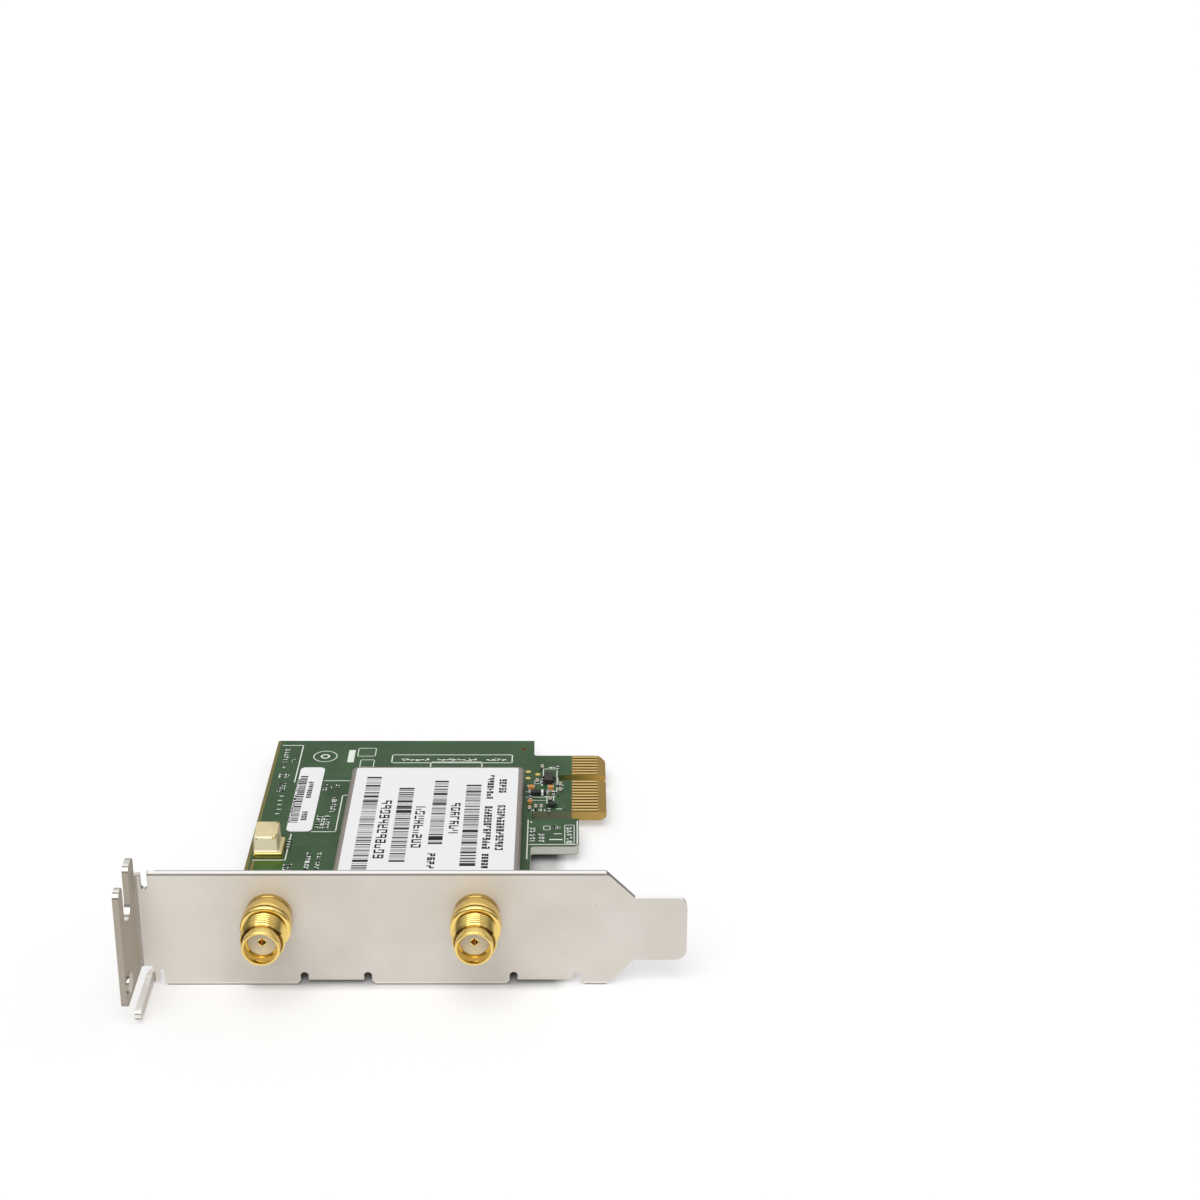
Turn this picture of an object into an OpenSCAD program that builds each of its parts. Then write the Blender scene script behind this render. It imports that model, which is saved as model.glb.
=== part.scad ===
// Low-profile wireless network card: a folded slot bracket, a circuit board with an edge connector,
// a shielded radio section and two threaded antenna jacks joined to it by coaxial leads.
// All sizes are in millimetres. Sizes named _x are measured from the outer face of the ear,
// sizes named _y from the front face of the plate, and heights from the surface under the card.

/* [Bracket] */
// Length from the ear to the end of the tongue
bracket_len = 79.2; // [76:0.1:90]
// Height of the plate
plate_h = 18.42; // [18:0.01:20]
// Thickness of the sheet
sheet_t = 0.86; // [0.7:0.01:1]
// Inside radius of the folds
fold_r = 0.4; // [0.2:0.05:0.6]
// Width of the tongue
tongue_w = 10.19; // [9:0.01:11]
// Straight length of the tongue
tongue_len = 7.5; // [5:0.1:9]
// Radius of the tongue's corners
tongue_corner = 1.7; // [0.8:0.1:2.5]
// Width of the relief notches beside the folds
relief_w = 1.15; // [0.8:0.05:1.4]
// Depth of the relief notches
relief_depth = 2.1; // [1.8:0.05:2.4]
// Width of the notch at the plate's top, beside the fold to the ear
top_relief_w = 1; // [0.8:0.05:1.2]
// Depth of the notch at the plate's top
top_relief_depth = 2.65; // [2.2:0.05:2.9]

/* [Ear] */
// Reach of the ear in front of the plate
ear_reach = 11.43; // [10.8:0.01:13]
// Height of the ear's lower edge above the plate's lower edge
ear_lift = 3.18; // [2.9:0.01:3.8]
// Width of the screw slot
screw_slot_w = 4.42; // [4.2:0.01:4.8]
// Depth of the screw slot from the ear's top edge
screw_slot_depth = 7.1; // [6:0.1:8]
// Distance of the screw slot's centre in front of the plate
screw_slot_y = 6.4; // [6:0.05:7]
// Radius of the prongs' corners
prong_corner = 1.2; // [0.6:0.1:1.4]
// Diameter of the half-pierced pip
pip_d = 2.9; // [2:0.1:3.2]
// Height of the pip off the sheet
pip_h = 0.45; // [0.2:0.05:0.6]
// Reach of the slim finger below the ear
finger_reach = 10.5; // [8:0.1:11.4]
// Height of the slim finger
finger_w = 1.7; // [1.2:0.1:1.9]
// Width of the notch between the finger's neck and the plate's lower corner
finger_notch_w = 0.75; // [0.6:0.05:1.2]

/* [Board tabs] */
// Height of the tabs' underside above the plate's lower edge
tab_lift = 0.62; // [0.45:0.01:0.8]
// Width of each tab
tab_w = 8; // [7:0.1:9]
// Reach of the tabs behind the plate's front face
tab_reach = 10; // [9:0.1:12]
// Middle of the first tab
tab_1_x = 28.7; // [28:0.1:29.5]
// Distance between the two tabs
tab_pitch = 30.15; // [29.5:0.05:30.5]
// Distance of the tab screws behind the plate's front face
tab_screw_y = 6.2; // [5.8:0.1:6.6]
// Diameter of the tab screws
screw_d = 3; // [2.5:0.1:3]
// Diameter of the screw heads
screw_head_d = 5.5; // [5:0.1:6]
// Height of the screw heads
screw_head_h = 1.7; // [1.4:0.1:2]

/* [Board] */
// Thickness of the board
board_t = 1.57; // [1.4:0.01:1.65]
// Gap between the folds and the board's near edge
board_gap = 0.34; // [0.2:0.02:0.6]
// Left edge of the board
board_left_x = 11.7; // [8:0.1:12.2]
// Right edge of the board's main part
board_right_x = 56.1; // [55.8:0.1:57.5]
// Far edge of the board
board_far_y = 72.9; // [70:0.1:80]
// End of the edge connector
connector_x = 68.3; // [67.8:0.1:70]
// Middle of the key notch
key_y = 59.05; // [58.6:0.05:59.5]
// Width of the key notch
key_w = 1.9; // [1.8:0.05:2]
// Depth of the key notch
key_depth = 8.2; // [7:0.1:8.4]
// Length of the connector on the far side of the key
key_far_len = 8.15; // [8:0.05:8.6]
// Length of the connector on the near side of the key
key_near_len = 12.15; // [12:0.05:12.6]
// Radius of the connector's far corner
far_corner = 2; // [1:0.1:2.2]
// Radius of the connector's near corner
near_corner = 0.8; // [0.4:0.1:1.2]
// Width of the slot between the connector and the lug
lug_slot_w = 2.4; // [2:0.1:3]
// End of the board's lug
lug_x = 63.75; // [62:0.1:66]
// Width of the board's lug
lug_w = 9; // [7:0.1:11]
// End of the board's foot over the second tab
foot_x = 63.2; // [63:0.1:65]
// Width of the board's foot
foot_w = 9.6; // [9.2:0.1:12]

/* [Contacts] */
// Spacing of the contacts
contact_pitch = 1; // [0.98:0.01:1.02]
// Width of a contact
contact_w = 0.7; // [0.6:0.01:0.75]
// Length of a contact
contact_len = 4.2; // [3.5:0.1:4.6]
// Distance from the contacts to the connector's end
contact_margin = 1.4; // [1.2:0.1:1.8]
// Contacts on the near side of the key
contacts_near = 11; // [8:1:11]
// Contacts on the far side of the key
contacts_far = 7; // [5:1:7]
// Thickness of a contact
contact_t = 0.05; // [0.03:0.01:0.08]

/* [Shield] */
// Left wall of the shield
shield_x = 26; // [25:0.1:27]
// Width of the shield
shield_w = 28.6; // [27.5:0.1:29]
// Near wall of the shield
shield_near_y = 15.6; // [15.4:0.1:18]
// Far wall of the shield
shield_far_y = 57.9; // [55:0.1:60]
// Height of the shield above the board
shield_h = 2.75; // [2.4:0.05:3.2]
// Thickness of the shield's sheet
shield_t = 0.2; // [0.15:0.01:0.25]
// Radius of the shield's upright corners
shield_corner = 1.1; // [0.8:0.1:1.6]
// Radius along the shield's top edges
shield_edge = 0.45; // [0.35:0.05:0.6]
// Gap between the shield's cover and its frame
shield_fit = 0.04; // [0.02:0.01:0.08]

/* [Labels] */
// Margin of the large label on the shield
label_margin = 0.85; // [0.7:0.05:1.5]
// Thickness of the labels
label_t = 0.1; // [0.06:0.01:0.15]
// Width of the small label
small_label_w = 4.1; // [3.5:0.1:4.6]
// Length of the small label
small_label_len = 22.4; // [18:0.1:24]
// Distance of the small label from the board's left edge
small_label_inset = 5.05; // [4.6:0.05:5.4]
// Near end of the small label
small_label_y = 40.2; // [39:0.1:42]

/* [Clip] */
// Near face of the clip's cap
clip_y = 32.3; // [31.8:0.1:33]
// Width of the cap
clip_w = 3.75; // [3.4:0.05:3.9]
// Length of the cap
clip_len = 4.5; // [4:0.1:5]
// Height of the cap
clip_h = 3.7; // [3.2:0.1:4]
// Radius of the flare round the cap's foot
clip_flare = 0.7; // [0.5:0.05:0.8]

/* [Jacks] */
// Axis of the first jack
jack_1_x = 19.5; // [18.5:0.1:20]
// Distance between the jacks
jack_pitch = 29.6; // [28.5:0.1:30]
// Height of the jacks' axes
jack_z = 11.75; // [11:0.05:12]
// Diameter of the plain nose
nose_d = 5.4; // [5.3:0.01:5.49]
// Diameter over the thread
thread_d = 6.3; // [6.12:0.01:6.35]
// Diameter of the collar and its ring
collar_d = 7.2; // [7:0.1:8]
// Diameter of the barrel against the plate
barrel_d = 6.7; // [6.5:0.05:6.9]
// Diameter of the rear thread through the plate
rear_thread_d = 5.9; // [5.6:0.05:6]
// Bore of the socket
socket_d = 4.6; // [4.55:0.01:4.67]
// Depth of the socket
socket_depth = 1.9; // [1.7:0.05:2.1]
// Diameter of the insulator
insulator_d = 4.1; // [3.9:0.05:4.2]
// Diameter of the centre contact
pin_d = 1.27; // [1.2:0.01:1.35]
// Bore of the centre contact
pin_bore_d = 0.94; // [0.9:0.01:0.98]
// Width across the nut's flats
nut_af = 8; // [7.5:0.1:8.4]
// Thickness of the nut
nut_t = 2; // [1.6:0.1:2.2]
// Thickness of the lock washer
washer_t = 0.5; // [0.4:0.05:0.6]

/* [Coaxial leads] */
// Diameter of a lead
lead_d = 1.37; // [1.13:0.01:1.4]
// Place of the first socket on the board
socket_1_x = 34.6; // [34:0.1:35.5]
// Place of the second socket on the board
socket_2_x = 41; // [40.5:0.1:41.5]
// Distance of both sockets behind the plate's front face
socket_y = 9.5; // [9:0.1:10]

/* [Hidden] */

round_fn = 48;
small_fn = 24;
eps = 0.01;
cut = 1;
press_gap = 0.02;
running_gap = 0.08;

fold_out = sheet_t + fold_r;
taper_h = (plate_h - tongue_w) / 2;
tongue_x = bracket_len - tongue_len;
ear_top = ear_lift + plate_h;
relief_r = relief_w / 2;
relief_gap = 0.25;
fold_dip = 0.3;
finger_x = 1.55;
finger_top = ear_lift - 0.9;
finger_neck = 0.5;
pip_y = 10;
pip_z = 6.7;

tab_top = tab_lift + sheet_t;
tab_xs = [tab_1_x, tab_1_x + tab_pitch];
board_bottom = tab_top;
board_top = board_bottom + board_t;
board_near_y = fold_out + board_gap;
connector_far_y = key_y + key_far_len;
connector_near_y = key_y - key_near_len;
lug_far_y = connector_near_y - lug_slot_w;
lug_near_y = lug_far_y - lug_w;
contact_x = connector_x - contact_margin - contact_len;
first_contact = 1.5;

shield_right_x = shield_x + shield_w;
shield_len = shield_far_y - shield_near_y;
shield_top = board_top + shield_h;
cover_skirt = 0.35;

clip_inset = 1;
clip_wall = 0.25;
clip_edge = 0.25;
clip_rim = 0.12;

jack_xs = [jack_1_x, jack_1_x + jack_pitch];
jack_hole_d = rear_thread_d + 0.15;
jack_len = 9.5;
barrel_len = 1.9;
collar_len = 1.5;
groove_len = 0.2;
ring_len = 0.7;
thread_relief = 0.3;
nose_len = 1.6;
rear_len = 4.4;
stem_len = 3;
stem_d = 2.7;
stem_bore_d = lead_d + 0.16;
ferrule_d = 3.4;
ferrule_len = 3.6;
lead_start_y = rear_len + 0.6;

socket_xs = [socket_1_x, socket_2_x];
plug_h = 1.6;
plug_d = 2.6;
plug_wall = 0.25;
plug_lift = 0.42;
barrel_x = 2.7;
lead_z = board_top + plug_lift + lead_d / 2 + 0.25;

origin_x = bracket_len / 2;
origin_y = (board_far_y - ear_reach) / 2;

// Moves the card so that its origin is under the middle of its outer box.
module place() {
    translate([-origin_x, -origin_y, 0]) children();
}

// A plan outline made solid between two heights.
module layer(z, h) {
    translate([0, 0, z]) linear_extrude(h) children();
}

// An outline in X and Z, made solid through the plate.
module through_plate() {
    translate([0, sheet_t, 0]) rotate([90, 0, 0]) linear_extrude(sheet_t) children();
}

// An outline in Y and Z, made solid along X.
module along_x(x, length) {
    translate([x, 0, 0]) rotate([90, 0, 90]) linear_extrude(length) children();
}

// What has to come off a square corner to round it; the material lies in the given quadrant.
module corner_cut(p, r, quadrant) {
    translate(p) rotate([0, 0, 90 * quadrant]) difference() {
        translate([-cut, -cut]) square(r + cut);
        translate([r, r]) circle(r, $fn = round_fn);
    }
}

// What has to be added in a square inner corner to fillet it; the opening lies in the quadrant.
module corner_fill(p, r, quadrant) {
    translate(p) rotate([0, 0, 90 * quadrant]) difference() {
        translate([-eps, -eps]) square(r + eps);
        translate([r, r]) circle(r, $fn = round_fn);
    }
}

// A quarter ring of sheet round the point p, in the given quadrant.
module fold_section(p, quadrant) {
    translate(p) rotate([0, 0, 90 * quadrant]) intersection() {
        difference() {
            circle(fold_out, $fn = round_fn);
            circle(fold_r, $fn = round_fn);
        }
        square(fold_out + eps);
    }
}

// A notch with a round end, open downwards; its middle, its bottom and its top are given.
module round_notch(x, bottom, top, width) {
    translate([x - width / 2, bottom]) square([width, top - bottom - width / 2]);
    translate([x, top - width / 2]) circle(width / 2, $fn = round_fn);
}

// A rectangle with round corners, given by its lower and upper corners.
module round_rect(lo, hi, r) {
    difference() {
        translate(lo) square(hi - lo);
        corner_cut(lo, r, 0);
        corner_cut([hi[0], lo[1]], r, 1);
        corner_cut(hi, r, 2);
        corner_cut([lo[0], hi[1]], r, 3);
    }
}

// Outline of the plate and its tongue.
module plate_outline() {
    tongue_z = taper_h;
    difference() {
        polygon([
            [fold_out, 0], [tongue_x - taper_h, 0], [tongue_x, tongue_z], [bracket_len, tongue_z],
            [bracket_len, tongue_z + tongue_w], [tongue_x, tongue_z + tongue_w],
            [tongue_x - taper_h, plate_h], [fold_out, plate_h]
        ]);
        corner_cut([bracket_len, tongue_z], tongue_corner, 1);
        corner_cut([bracket_len, tongue_z + tongue_w], tongue_corner, 2);
        fold_relief();
        finger_relief();
        for (x = tab_xs) tab_relief(x);
        for (x = jack_xs) translate([x, jack_z]) circle(jack_hole_d / 2, $fn = round_fn);
    }
}

// The notch at the plate's top, beside the fold to the ear, and the dip between them.
module fold_relief() {
    x = fold_out + relief_gap + top_relief_w / 2;
    translate([0, 2 * plate_h]) mirror([0, 1]) {
        round_notch(x, plate_h - cut, plate_h + top_relief_depth, top_relief_w);
    }
    translate([0, plate_h - fold_dip]) square([x, fold_dip + cut]);
}

// The cuts that free the slim finger's neck from the plate's lower corner.
module finger_relief() {
    neck_x = finger_x + fold_out;
    corner_x = neck_x + finger_neck + finger_notch_w;
    translate([-cut, -cut]) square([neck_x + cut, ear_lift - relief_r + cut]);
    translate([-cut, 0]) square([fold_out + relief_r + cut, ear_lift]);
    translate([fold_out + relief_r, ear_lift - relief_r]) circle(relief_r, $fn = round_fn);
    round_notch(corner_x - finger_notch_w / 2, -cut, finger_top + relief_r / 2, finger_notch_w);
    translate([neck_x - eps, -cut]) square([finger_neck + finger_notch_w, finger_top - finger_w + cut]);
    corner_cut([corner_x, 0], relief_r, 0);
}

// The two notches beside a board tab, their outer chamfers, and the sheet that folds away.
module tab_relief(x) {
    side = tab_w / 2;
    chamfer = relief_r * 1.2;
    for (s = [-1, 1]) {
        round_notch(x + s * (side + relief_r), -cut, relief_depth, relief_w);
        translate([x + s * (side + relief_w), 0]) {
            polygon([[-s * eps, -cut], [s * (chamfer + cut), -cut], [-s * eps, chamfer]]);
        }
    }
    translate([x - side - eps, -cut]) square([tab_w + 2 * eps, tab_lift + fold_out + cut]);
}

// Outline of the ear, with Y in front of the plate as a negative value.
module ear_outline() {
    slot_bottom = ear_top - screw_slot_depth;
    slot_r = screw_slot_w / 2;
    difference() {
        translate([-ear_reach, ear_lift]) square([ear_reach - fold_r, plate_h]);
        translate([-screw_slot_y - slot_r, slot_bottom + slot_r]) {
            square([screw_slot_w, screw_slot_depth]);
        }
        translate([-screw_slot_y, slot_bottom + slot_r]) circle(slot_r, $fn = round_fn);
        corner_cut([-ear_reach, ear_lift], prong_corner, 0);
        corner_cut([-ear_reach, ear_top], prong_corner, 3);
        corner_cut([-screw_slot_y - slot_r, ear_top], prong_corner, 2);
        corner_cut([-screw_slot_y + slot_r, ear_top], prong_corner, 3);
        corner_cut([-fold_r, ear_top], prong_corner, 2);
    }
}

// Outline of the slim finger in Y and Z, with its rounded end.
module finger_outline() {
    end_r = finger_w / 2;
    translate([-finger_reach + end_r, finger_top - finger_w]) {
        square([finger_reach - end_r - fold_r, finger_w]);
    }
    translate([-finger_reach + end_r, finger_top - end_r]) circle(end_r, $fn = round_fn);
}

// A tab folded back under the board, with its threaded hole.
module board_tab(x) {
    difference() {
        along_x(x - tab_w / 2, tab_w) {
            fold_section([fold_out, tab_lift + fold_out], 2);
            translate([fold_out - eps, tab_lift]) square([tab_reach - fold_out + eps, sheet_t]);
        }
        translate([x, tab_screw_y, tab_lift - cut]) {
            cylinder(h = sheet_t + 2 * cut, d = screw_d + running_gap, $fn = small_fn);
        }
        for (s = [-1, 1]) layer(tab_lift - cut, sheet_t + 2 * cut) {
            corner_cut([x + s * tab_w / 2, tab_reach], 1, s > 0 ? 2 : 3);
        }
    }
}

// The plate with its tongue, the ear, the slim finger and the two board tabs, from one sheet.
module bracket() {
    fold_centre = [fold_out, -fold_r];
    color([0.83, 0.80, 0.77]) place() {
        through_plate() plate_outline();
        layer(ear_lift, plate_h - ear_lift - fold_dip) fold_section(fold_centre, 1);
        along_x(0, sheet_t) ear_outline();
        translate([sheet_t - eps, -pip_y, pip_z]) rotate([0, 90, 0]) {
            cylinder(h = pip_h + eps, d = pip_d, $fn = small_fn);
        }
        layer(finger_top - finger_w, finger_w) {
            fold_section(fold_centre + [finger_x, 0], 1);
        }
        along_x(finger_x, sheet_t) finger_outline();
        for (x = tab_xs) board_tab(x);
    }
}

// The two pan-head screws that hold the board down on the tabs.
module bracket_screws() {
    reach = board_t + sheet_t + 0.25;
    recess = [screw_head_d * 0.5, 0.7, 0.9];
    color([0.72, 0.72, 0.70]) place() for (x = tab_xs) translate([x, tab_screw_y, board_top]) {
        translate([0, 0, -reach]) cylinder(h = reach + eps, d = screw_d, $fn = small_fn);
        difference() {
            rotate_extrude($fn = round_fn) difference() {
                square([screw_head_d / 2, screw_head_h]);
                corner_cut([screw_head_d / 2, screw_head_h], screw_head_h / 2, 2);
            }
            for (turn = [0, 90]) rotate([0, 0, turn]) {
                translate([-recess[0] / 2, -recess[1] / 2, screw_head_h - recess[2]]) {
                    cube(recess + [0, 0, cut]);
                }
            }
        }
    }
}

// Plan outline of the board, without its holes.
module board_outline() {
    inner_x = board_right_x - cut;
    step_r = 0.6;
    difference() {
        union() {
            translate([board_left_x, board_near_y]) {
                square([board_right_x - board_left_x, board_far_y - board_near_y]);
            }
            translate([inner_x, connector_near_y]) {
                square([connector_x - inner_x, connector_far_y - connector_near_y]);
            }
            translate([inner_x, lug_near_y]) square([lug_x - inner_x, lug_w]);
            translate([inner_x, board_near_y]) square([foot_x - inner_x, foot_w]);
            corner_fill([board_right_x, connector_far_y], step_r, 0);
            corner_fill([board_right_x, lug_near_y], step_r, 3);
            corner_fill([board_right_x, board_near_y + foot_w], step_r, 0);
        }
        translate([board_right_x + lug_slot_w / 2, lug_far_y + lug_slot_w / 2]) {
            circle(lug_slot_w / 2, $fn = round_fn);
        }
        translate([connector_x - key_depth + key_w / 2, key_y - key_w / 2]) {
            square([key_depth + cut, key_w]);
        }
        translate([connector_x - key_depth + key_w / 2, key_y]) circle(key_w / 2, $fn = round_fn);
        corner_cut([connector_x, connector_far_y], far_corner, 2);
        corner_cut([connector_x, connector_near_y], near_corner, 1);
        corner_cut([lug_x, lug_far_y], 0.3, 2);
        corner_cut([lug_x, lug_near_y], 0.9, 1);
        corner_cut([foot_x, board_near_y + foot_w], 0.8, 2);
        corner_cut([board_left_x, board_far_y], 0.4, 3);
        corner_cut([board_right_x, board_far_y], 0.3, 2);
    }
}

// The wedge that bevels one face of the connector's end; side is 1 for the top and -1 below.
module connector_bevel(side) {
    bevel = [1.1, 0.4];
    middle = board_bottom + board_t / 2;
    translate([0, connector_far_y + cut, middle]) rotate([90, 0, 0]) {
        linear_extrude(connector_far_y - connector_near_y + 2 * cut) {
            polygon([
                [connector_x - bevel[0], side * (board_t / 2 + eps)],
                [connector_x + cut, side * (board_t / 2 + eps)],
                [connector_x + cut, side * (board_t / 2 - bevel[1])],
                [connector_x, side * (board_t / 2 - bevel[1])]
            ]);
        }
    }
}

// The circuit board with its screw holes, tooling hole and bevelled connector.
module main_board() {
    tooling = [board_right_x - 1.7, board_far_y - 3.2];
    color([0.16, 0.33, 0.18]) place() difference() {
        layer(board_bottom, board_t) difference() {
            board_outline();
            for (x = tab_xs) translate([x, tab_screw_y]) circle((screw_d + 0.3) / 2, $fn = round_fn);
            translate(tooling) circle(0.45, $fn = small_fn);
        }
        connector_bevel(1);
        connector_bevel(-1);
    }
}

// Plan outlines of the contacts on one face of the connector.
module contact_rows() {
    for (i = [0 : contacts_near - 1]) {
        translate([contact_x, key_y - first_contact - i * contact_pitch - contact_w / 2]) {
            square([contact_len, contact_w]);
        }
    }
    for (i = [0 : contacts_far - 1]) {
        translate([contact_x, key_y + first_contact + i * contact_pitch - contact_w / 2]) {
            square([contact_len, contact_w]);
        }
    }
}

// Gold contacts on the board's upper face.
module edge_contacts_top() {
    color([0.87, 0.70, 0.32]) place() layer(board_top, contact_t) contact_rows();
}

// Gold contacts on the board's lower face.
module edge_contacts_bottom() {
    color([0.87, 0.70, 0.32]) place() layer(board_bottom - contact_t, contact_t) contact_rows();
}

// Bare gold test pads between the shield and the connector.
module test_pads() {
    pad_d = 0.9;
    spots = [[0.65, 2.05], [0.65, -0.3], [2.25, 1.1]];
    color([0.87, 0.70, 0.32]) place() for (s = spots) {
        translate([shield_right_x + s[0], key_y + s[1], board_top]) {
            cylinder(h = contact_t, d = pad_d, $fn = small_fn);
        }
    }
}

// One corner post of the shield, rounded at its top edge, with its foot at z = 0.
module shield_post(r, edge, h) {
    rotate_extrude($fn = 32) difference() {
        square([r, h]);
        corner_cut([r, h], edge, 2);
    }
}

// The shield's block: four corner posts joined; inset draws it smaller all round.
module shield_block(inset, h) {
    r = shield_corner - inset;
    edge = max(shield_edge - inset, 0.05);
    hull() {
        for (x = [shield_x + shield_corner, shield_right_x - shield_corner]) {
            for (y = [shield_near_y + shield_corner, shield_far_y - shield_corner]) {
                translate([x, y, 0]) shield_post(r, edge, h);
            }
        }
    }
}

// The pressed cover: a thin tray turned over, with locking windows along its skirt.
module shield_cover() {
    window = [2, 0.5];
    windows = 7;
    spacing = shield_len / windows;
    color([0.66, 0.63, 0.60]) place() difference() {
        translate([0, 0, board_top + cover_skirt]) {
            shield_block(0, shield_h - cover_skirt);
        }
        translate([0, 0, board_top - cut]) {
            shield_block(shield_t, shield_h + cut - shield_t);
        }
        for (i = [0 : windows - 1]) {
            translate([
                shield_x - cut,
                shield_near_y + spacing * (i + 0.5) - window[0] / 2,
                board_top + cover_skirt + 0.5
            ]) cube([shield_w + 2 * cut, window[0], window[1]]);
        }
    }
}

// A flat ring along the shield's outline, between two insets from its outer wall.
module shield_ring(outer, inner) {
    lo = [shield_x, shield_near_y];
    hi = [shield_right_x, shield_far_y];
    inner_r = max(shield_corner - inner, shield_t);
    difference() {
        round_rect(lo + [outer, outer], hi - [outer, outer], shield_corner - outer);
        round_rect(lo + [inner, inner], hi - [inner, inner], inner_r);
    }
}

// The frame soldered to the board: a low fence that the cover snaps over, with a flange inside.
module shield_frame() {
    outer = shield_t + shield_fit;
    flange = 0.8;
    fence_h = shield_h - 2 * shield_t - 0.1;
    color([0.75, 0.74, 0.72]) place() {
        layer(board_top, fence_h) shield_ring(outer, outer + shield_t);
        layer(board_top + fence_h - shield_t, shield_t) shield_ring(outer + eps, outer + flange);
    }
}

// The large label on the cover.
module shield_label() {
    lo = [shield_x + label_margin, shield_near_y + label_margin];
    hi = [shield_right_x - label_margin, shield_far_y - label_margin];
    color([0.93, 0.93, 0.93]) place() layer(shield_top, label_t) round_rect(lo, hi, 0.5);
}

// The small label on the board.
module serial_label() {
    lo = [board_left_x + small_label_inset, small_label_y];
    hi = lo + [small_label_w, small_label_len];
    color([0.93, 0.93, 0.93]) place() layer(board_top, label_t) round_rect(lo, hi, 0.9);
}

// Puts a piece that is turned about Z on a jack's axis; its +Z points out in front of the plate.
module on_jack(i) {
    place() translate([jack_xs[i], 0, jack_z]) rotate([90, 0, 0]) children();
}

// Half section of a jack's outer form, from its stem behind the plate to its nose.
module jack_section() {
    collar_end = barrel_len + collar_len;
    ring_start = collar_end + groove_len;
    ring_end = ring_start + ring_len;
    thread_start = ring_end + thread_relief;
    thread_end = jack_len - nose_len;
    edge = 0.15;
    lead_in = (thread_d - nose_d) / 2;
    polygon([
        [0, -rear_len - stem_len], [stem_d / 2, -rear_len - stem_len], [stem_d / 2, -rear_len],
        [rear_thread_d / 2 - edge, -rear_len], [rear_thread_d / 2, -rear_len + edge],
        [rear_thread_d / 2, 0], [barrel_d / 2, 0], [barrel_d / 2, barrel_len],
        [collar_d / 2 - edge, barrel_len], [collar_d / 2, barrel_len + edge],
        [collar_d / 2, collar_end], [collar_d / 2 - 2 * edge, collar_end],
        [collar_d / 2 - 2 * edge, ring_start], [collar_d / 2, ring_start],
        [collar_d / 2, ring_end - 2 * edge], [collar_d / 2 - 2 * edge, ring_end],
        [nose_d / 2, ring_end], [nose_d / 2, thread_start - lead_in],
        [thread_d / 2, thread_start], [thread_d / 2, thread_end - lead_in],
        [nose_d / 2, thread_end], [nose_d / 2, jack_len - edge], [nose_d / 2 - edge, jack_len],
        [0, jack_len]
    ]);
}

// A turned jack body: nose, thread, ring, collar, barrel, rear thread and crimping stem.
module jack_body(i) {
    bore_back = rear_len - 0.8;
    color([0.89, 0.72, 0.30]) on_jack(i) difference() {
        rotate_extrude($fn = round_fn) jack_section();
        translate([0, 0, jack_len - socket_depth]) {
            cylinder(h = socket_depth + cut, d = socket_d, $fn = round_fn);
        }
        translate([0, 0, -bore_back]) {
            cylinder(h = bore_back + jack_len, d = insulator_d + 2 * press_gap, $fn = round_fn);
        }
        translate([0, 0, -rear_len - stem_len - cut]) {
            cylinder(h = rear_len + stem_len, d = stem_bore_d, $fn = small_fn);
        }
    }
}

// The white insulator inside a jack.
module jack_insulator(i) {
    back = rear_len - 0.8;
    color([0.88, 0.82, 0.70]) on_jack(i) translate([0, 0, -back]) difference() {
        cylinder(h = back + jack_len - socket_depth, d = insulator_d, $fn = round_fn);
        translate([0, 0, -cut]) {
            cylinder(h = back + jack_len + cut, d = pin_d + 2 * press_gap, $fn = small_fn);
        }
    }
}

// A jack's slit centre contact, from the face of the insulator to the end of the lead.
module jack_contact(i) {
    front = jack_len - socket_depth;
    bore = 2.6;
    slit = 0.16;
    color([0.85, 0.68, 0.28]) on_jack(i) difference() {
        translate([0, 0, -lead_start_y]) cylinder(h = lead_start_y + front, d = pin_d, $fn = small_fn);
        translate([0, 0, front - bore]) cylinder(h = bore + cut, d = pin_bore_d, $fn = small_fn);
        for (turn = [0, 90]) rotate([0, 0, turn]) {
            translate([-pin_d, -slit / 2, front - 2]) cube([2 * pin_d, slit, 2 + cut]);
        }
    }
}

// A toothed lock washer behind the plate.
module lock_washer(i) {
    teeth = 12;
    tooth_gap = [1, 0.5];
    color([0.70, 0.69, 0.66]) on_jack(i) translate([0, 0, -sheet_t - washer_t]) difference() {
        cylinder(h = washer_t, d = nut_af + 0.6, $fn = round_fn);
        translate([0, 0, -cut]) {
            cylinder(h = washer_t + 2 * cut, d = rear_thread_d + 2 * running_gap, $fn = round_fn);
        }
        for (k = [0 : teeth - 1]) rotate([0, 0, k * 360 / teeth]) {
            translate([rear_thread_d / 2 - eps, -tooth_gap[1] / 2, -cut]) {
                cube([tooth_gap[0] - 0.2, tooth_gap[1], washer_t + 2 * cut]);
            }
        }
    }
}

// The hexagon nut that holds a jack, with both faces chamfered.
module jack_nut(i) {
    corner_r = nut_af / 2 / cos(30);
    chamfer = corner_r - nut_af / 2;
    color([0.86, 0.69, 0.30]) on_jack(i) {
        translate([0, 0, -sheet_t - washer_t - nut_t]) difference() {
            intersection() {
                cylinder(h = nut_t, r = corner_r, $fn = 6);
                rotate_extrude($fn = round_fn) polygon([
                    [0, 0], [nut_af / 2, 0], [corner_r, chamfer / 2],
                    [corner_r, nut_t - chamfer / 2], [nut_af / 2, nut_t], [0, nut_t]
                ]);
            }
            translate([0, 0, -cut]) {
                cylinder(h = nut_t + 2 * cut, d = rear_thread_d + 2 * running_gap, $fn = round_fn);
            }
        }
    }
}

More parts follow.
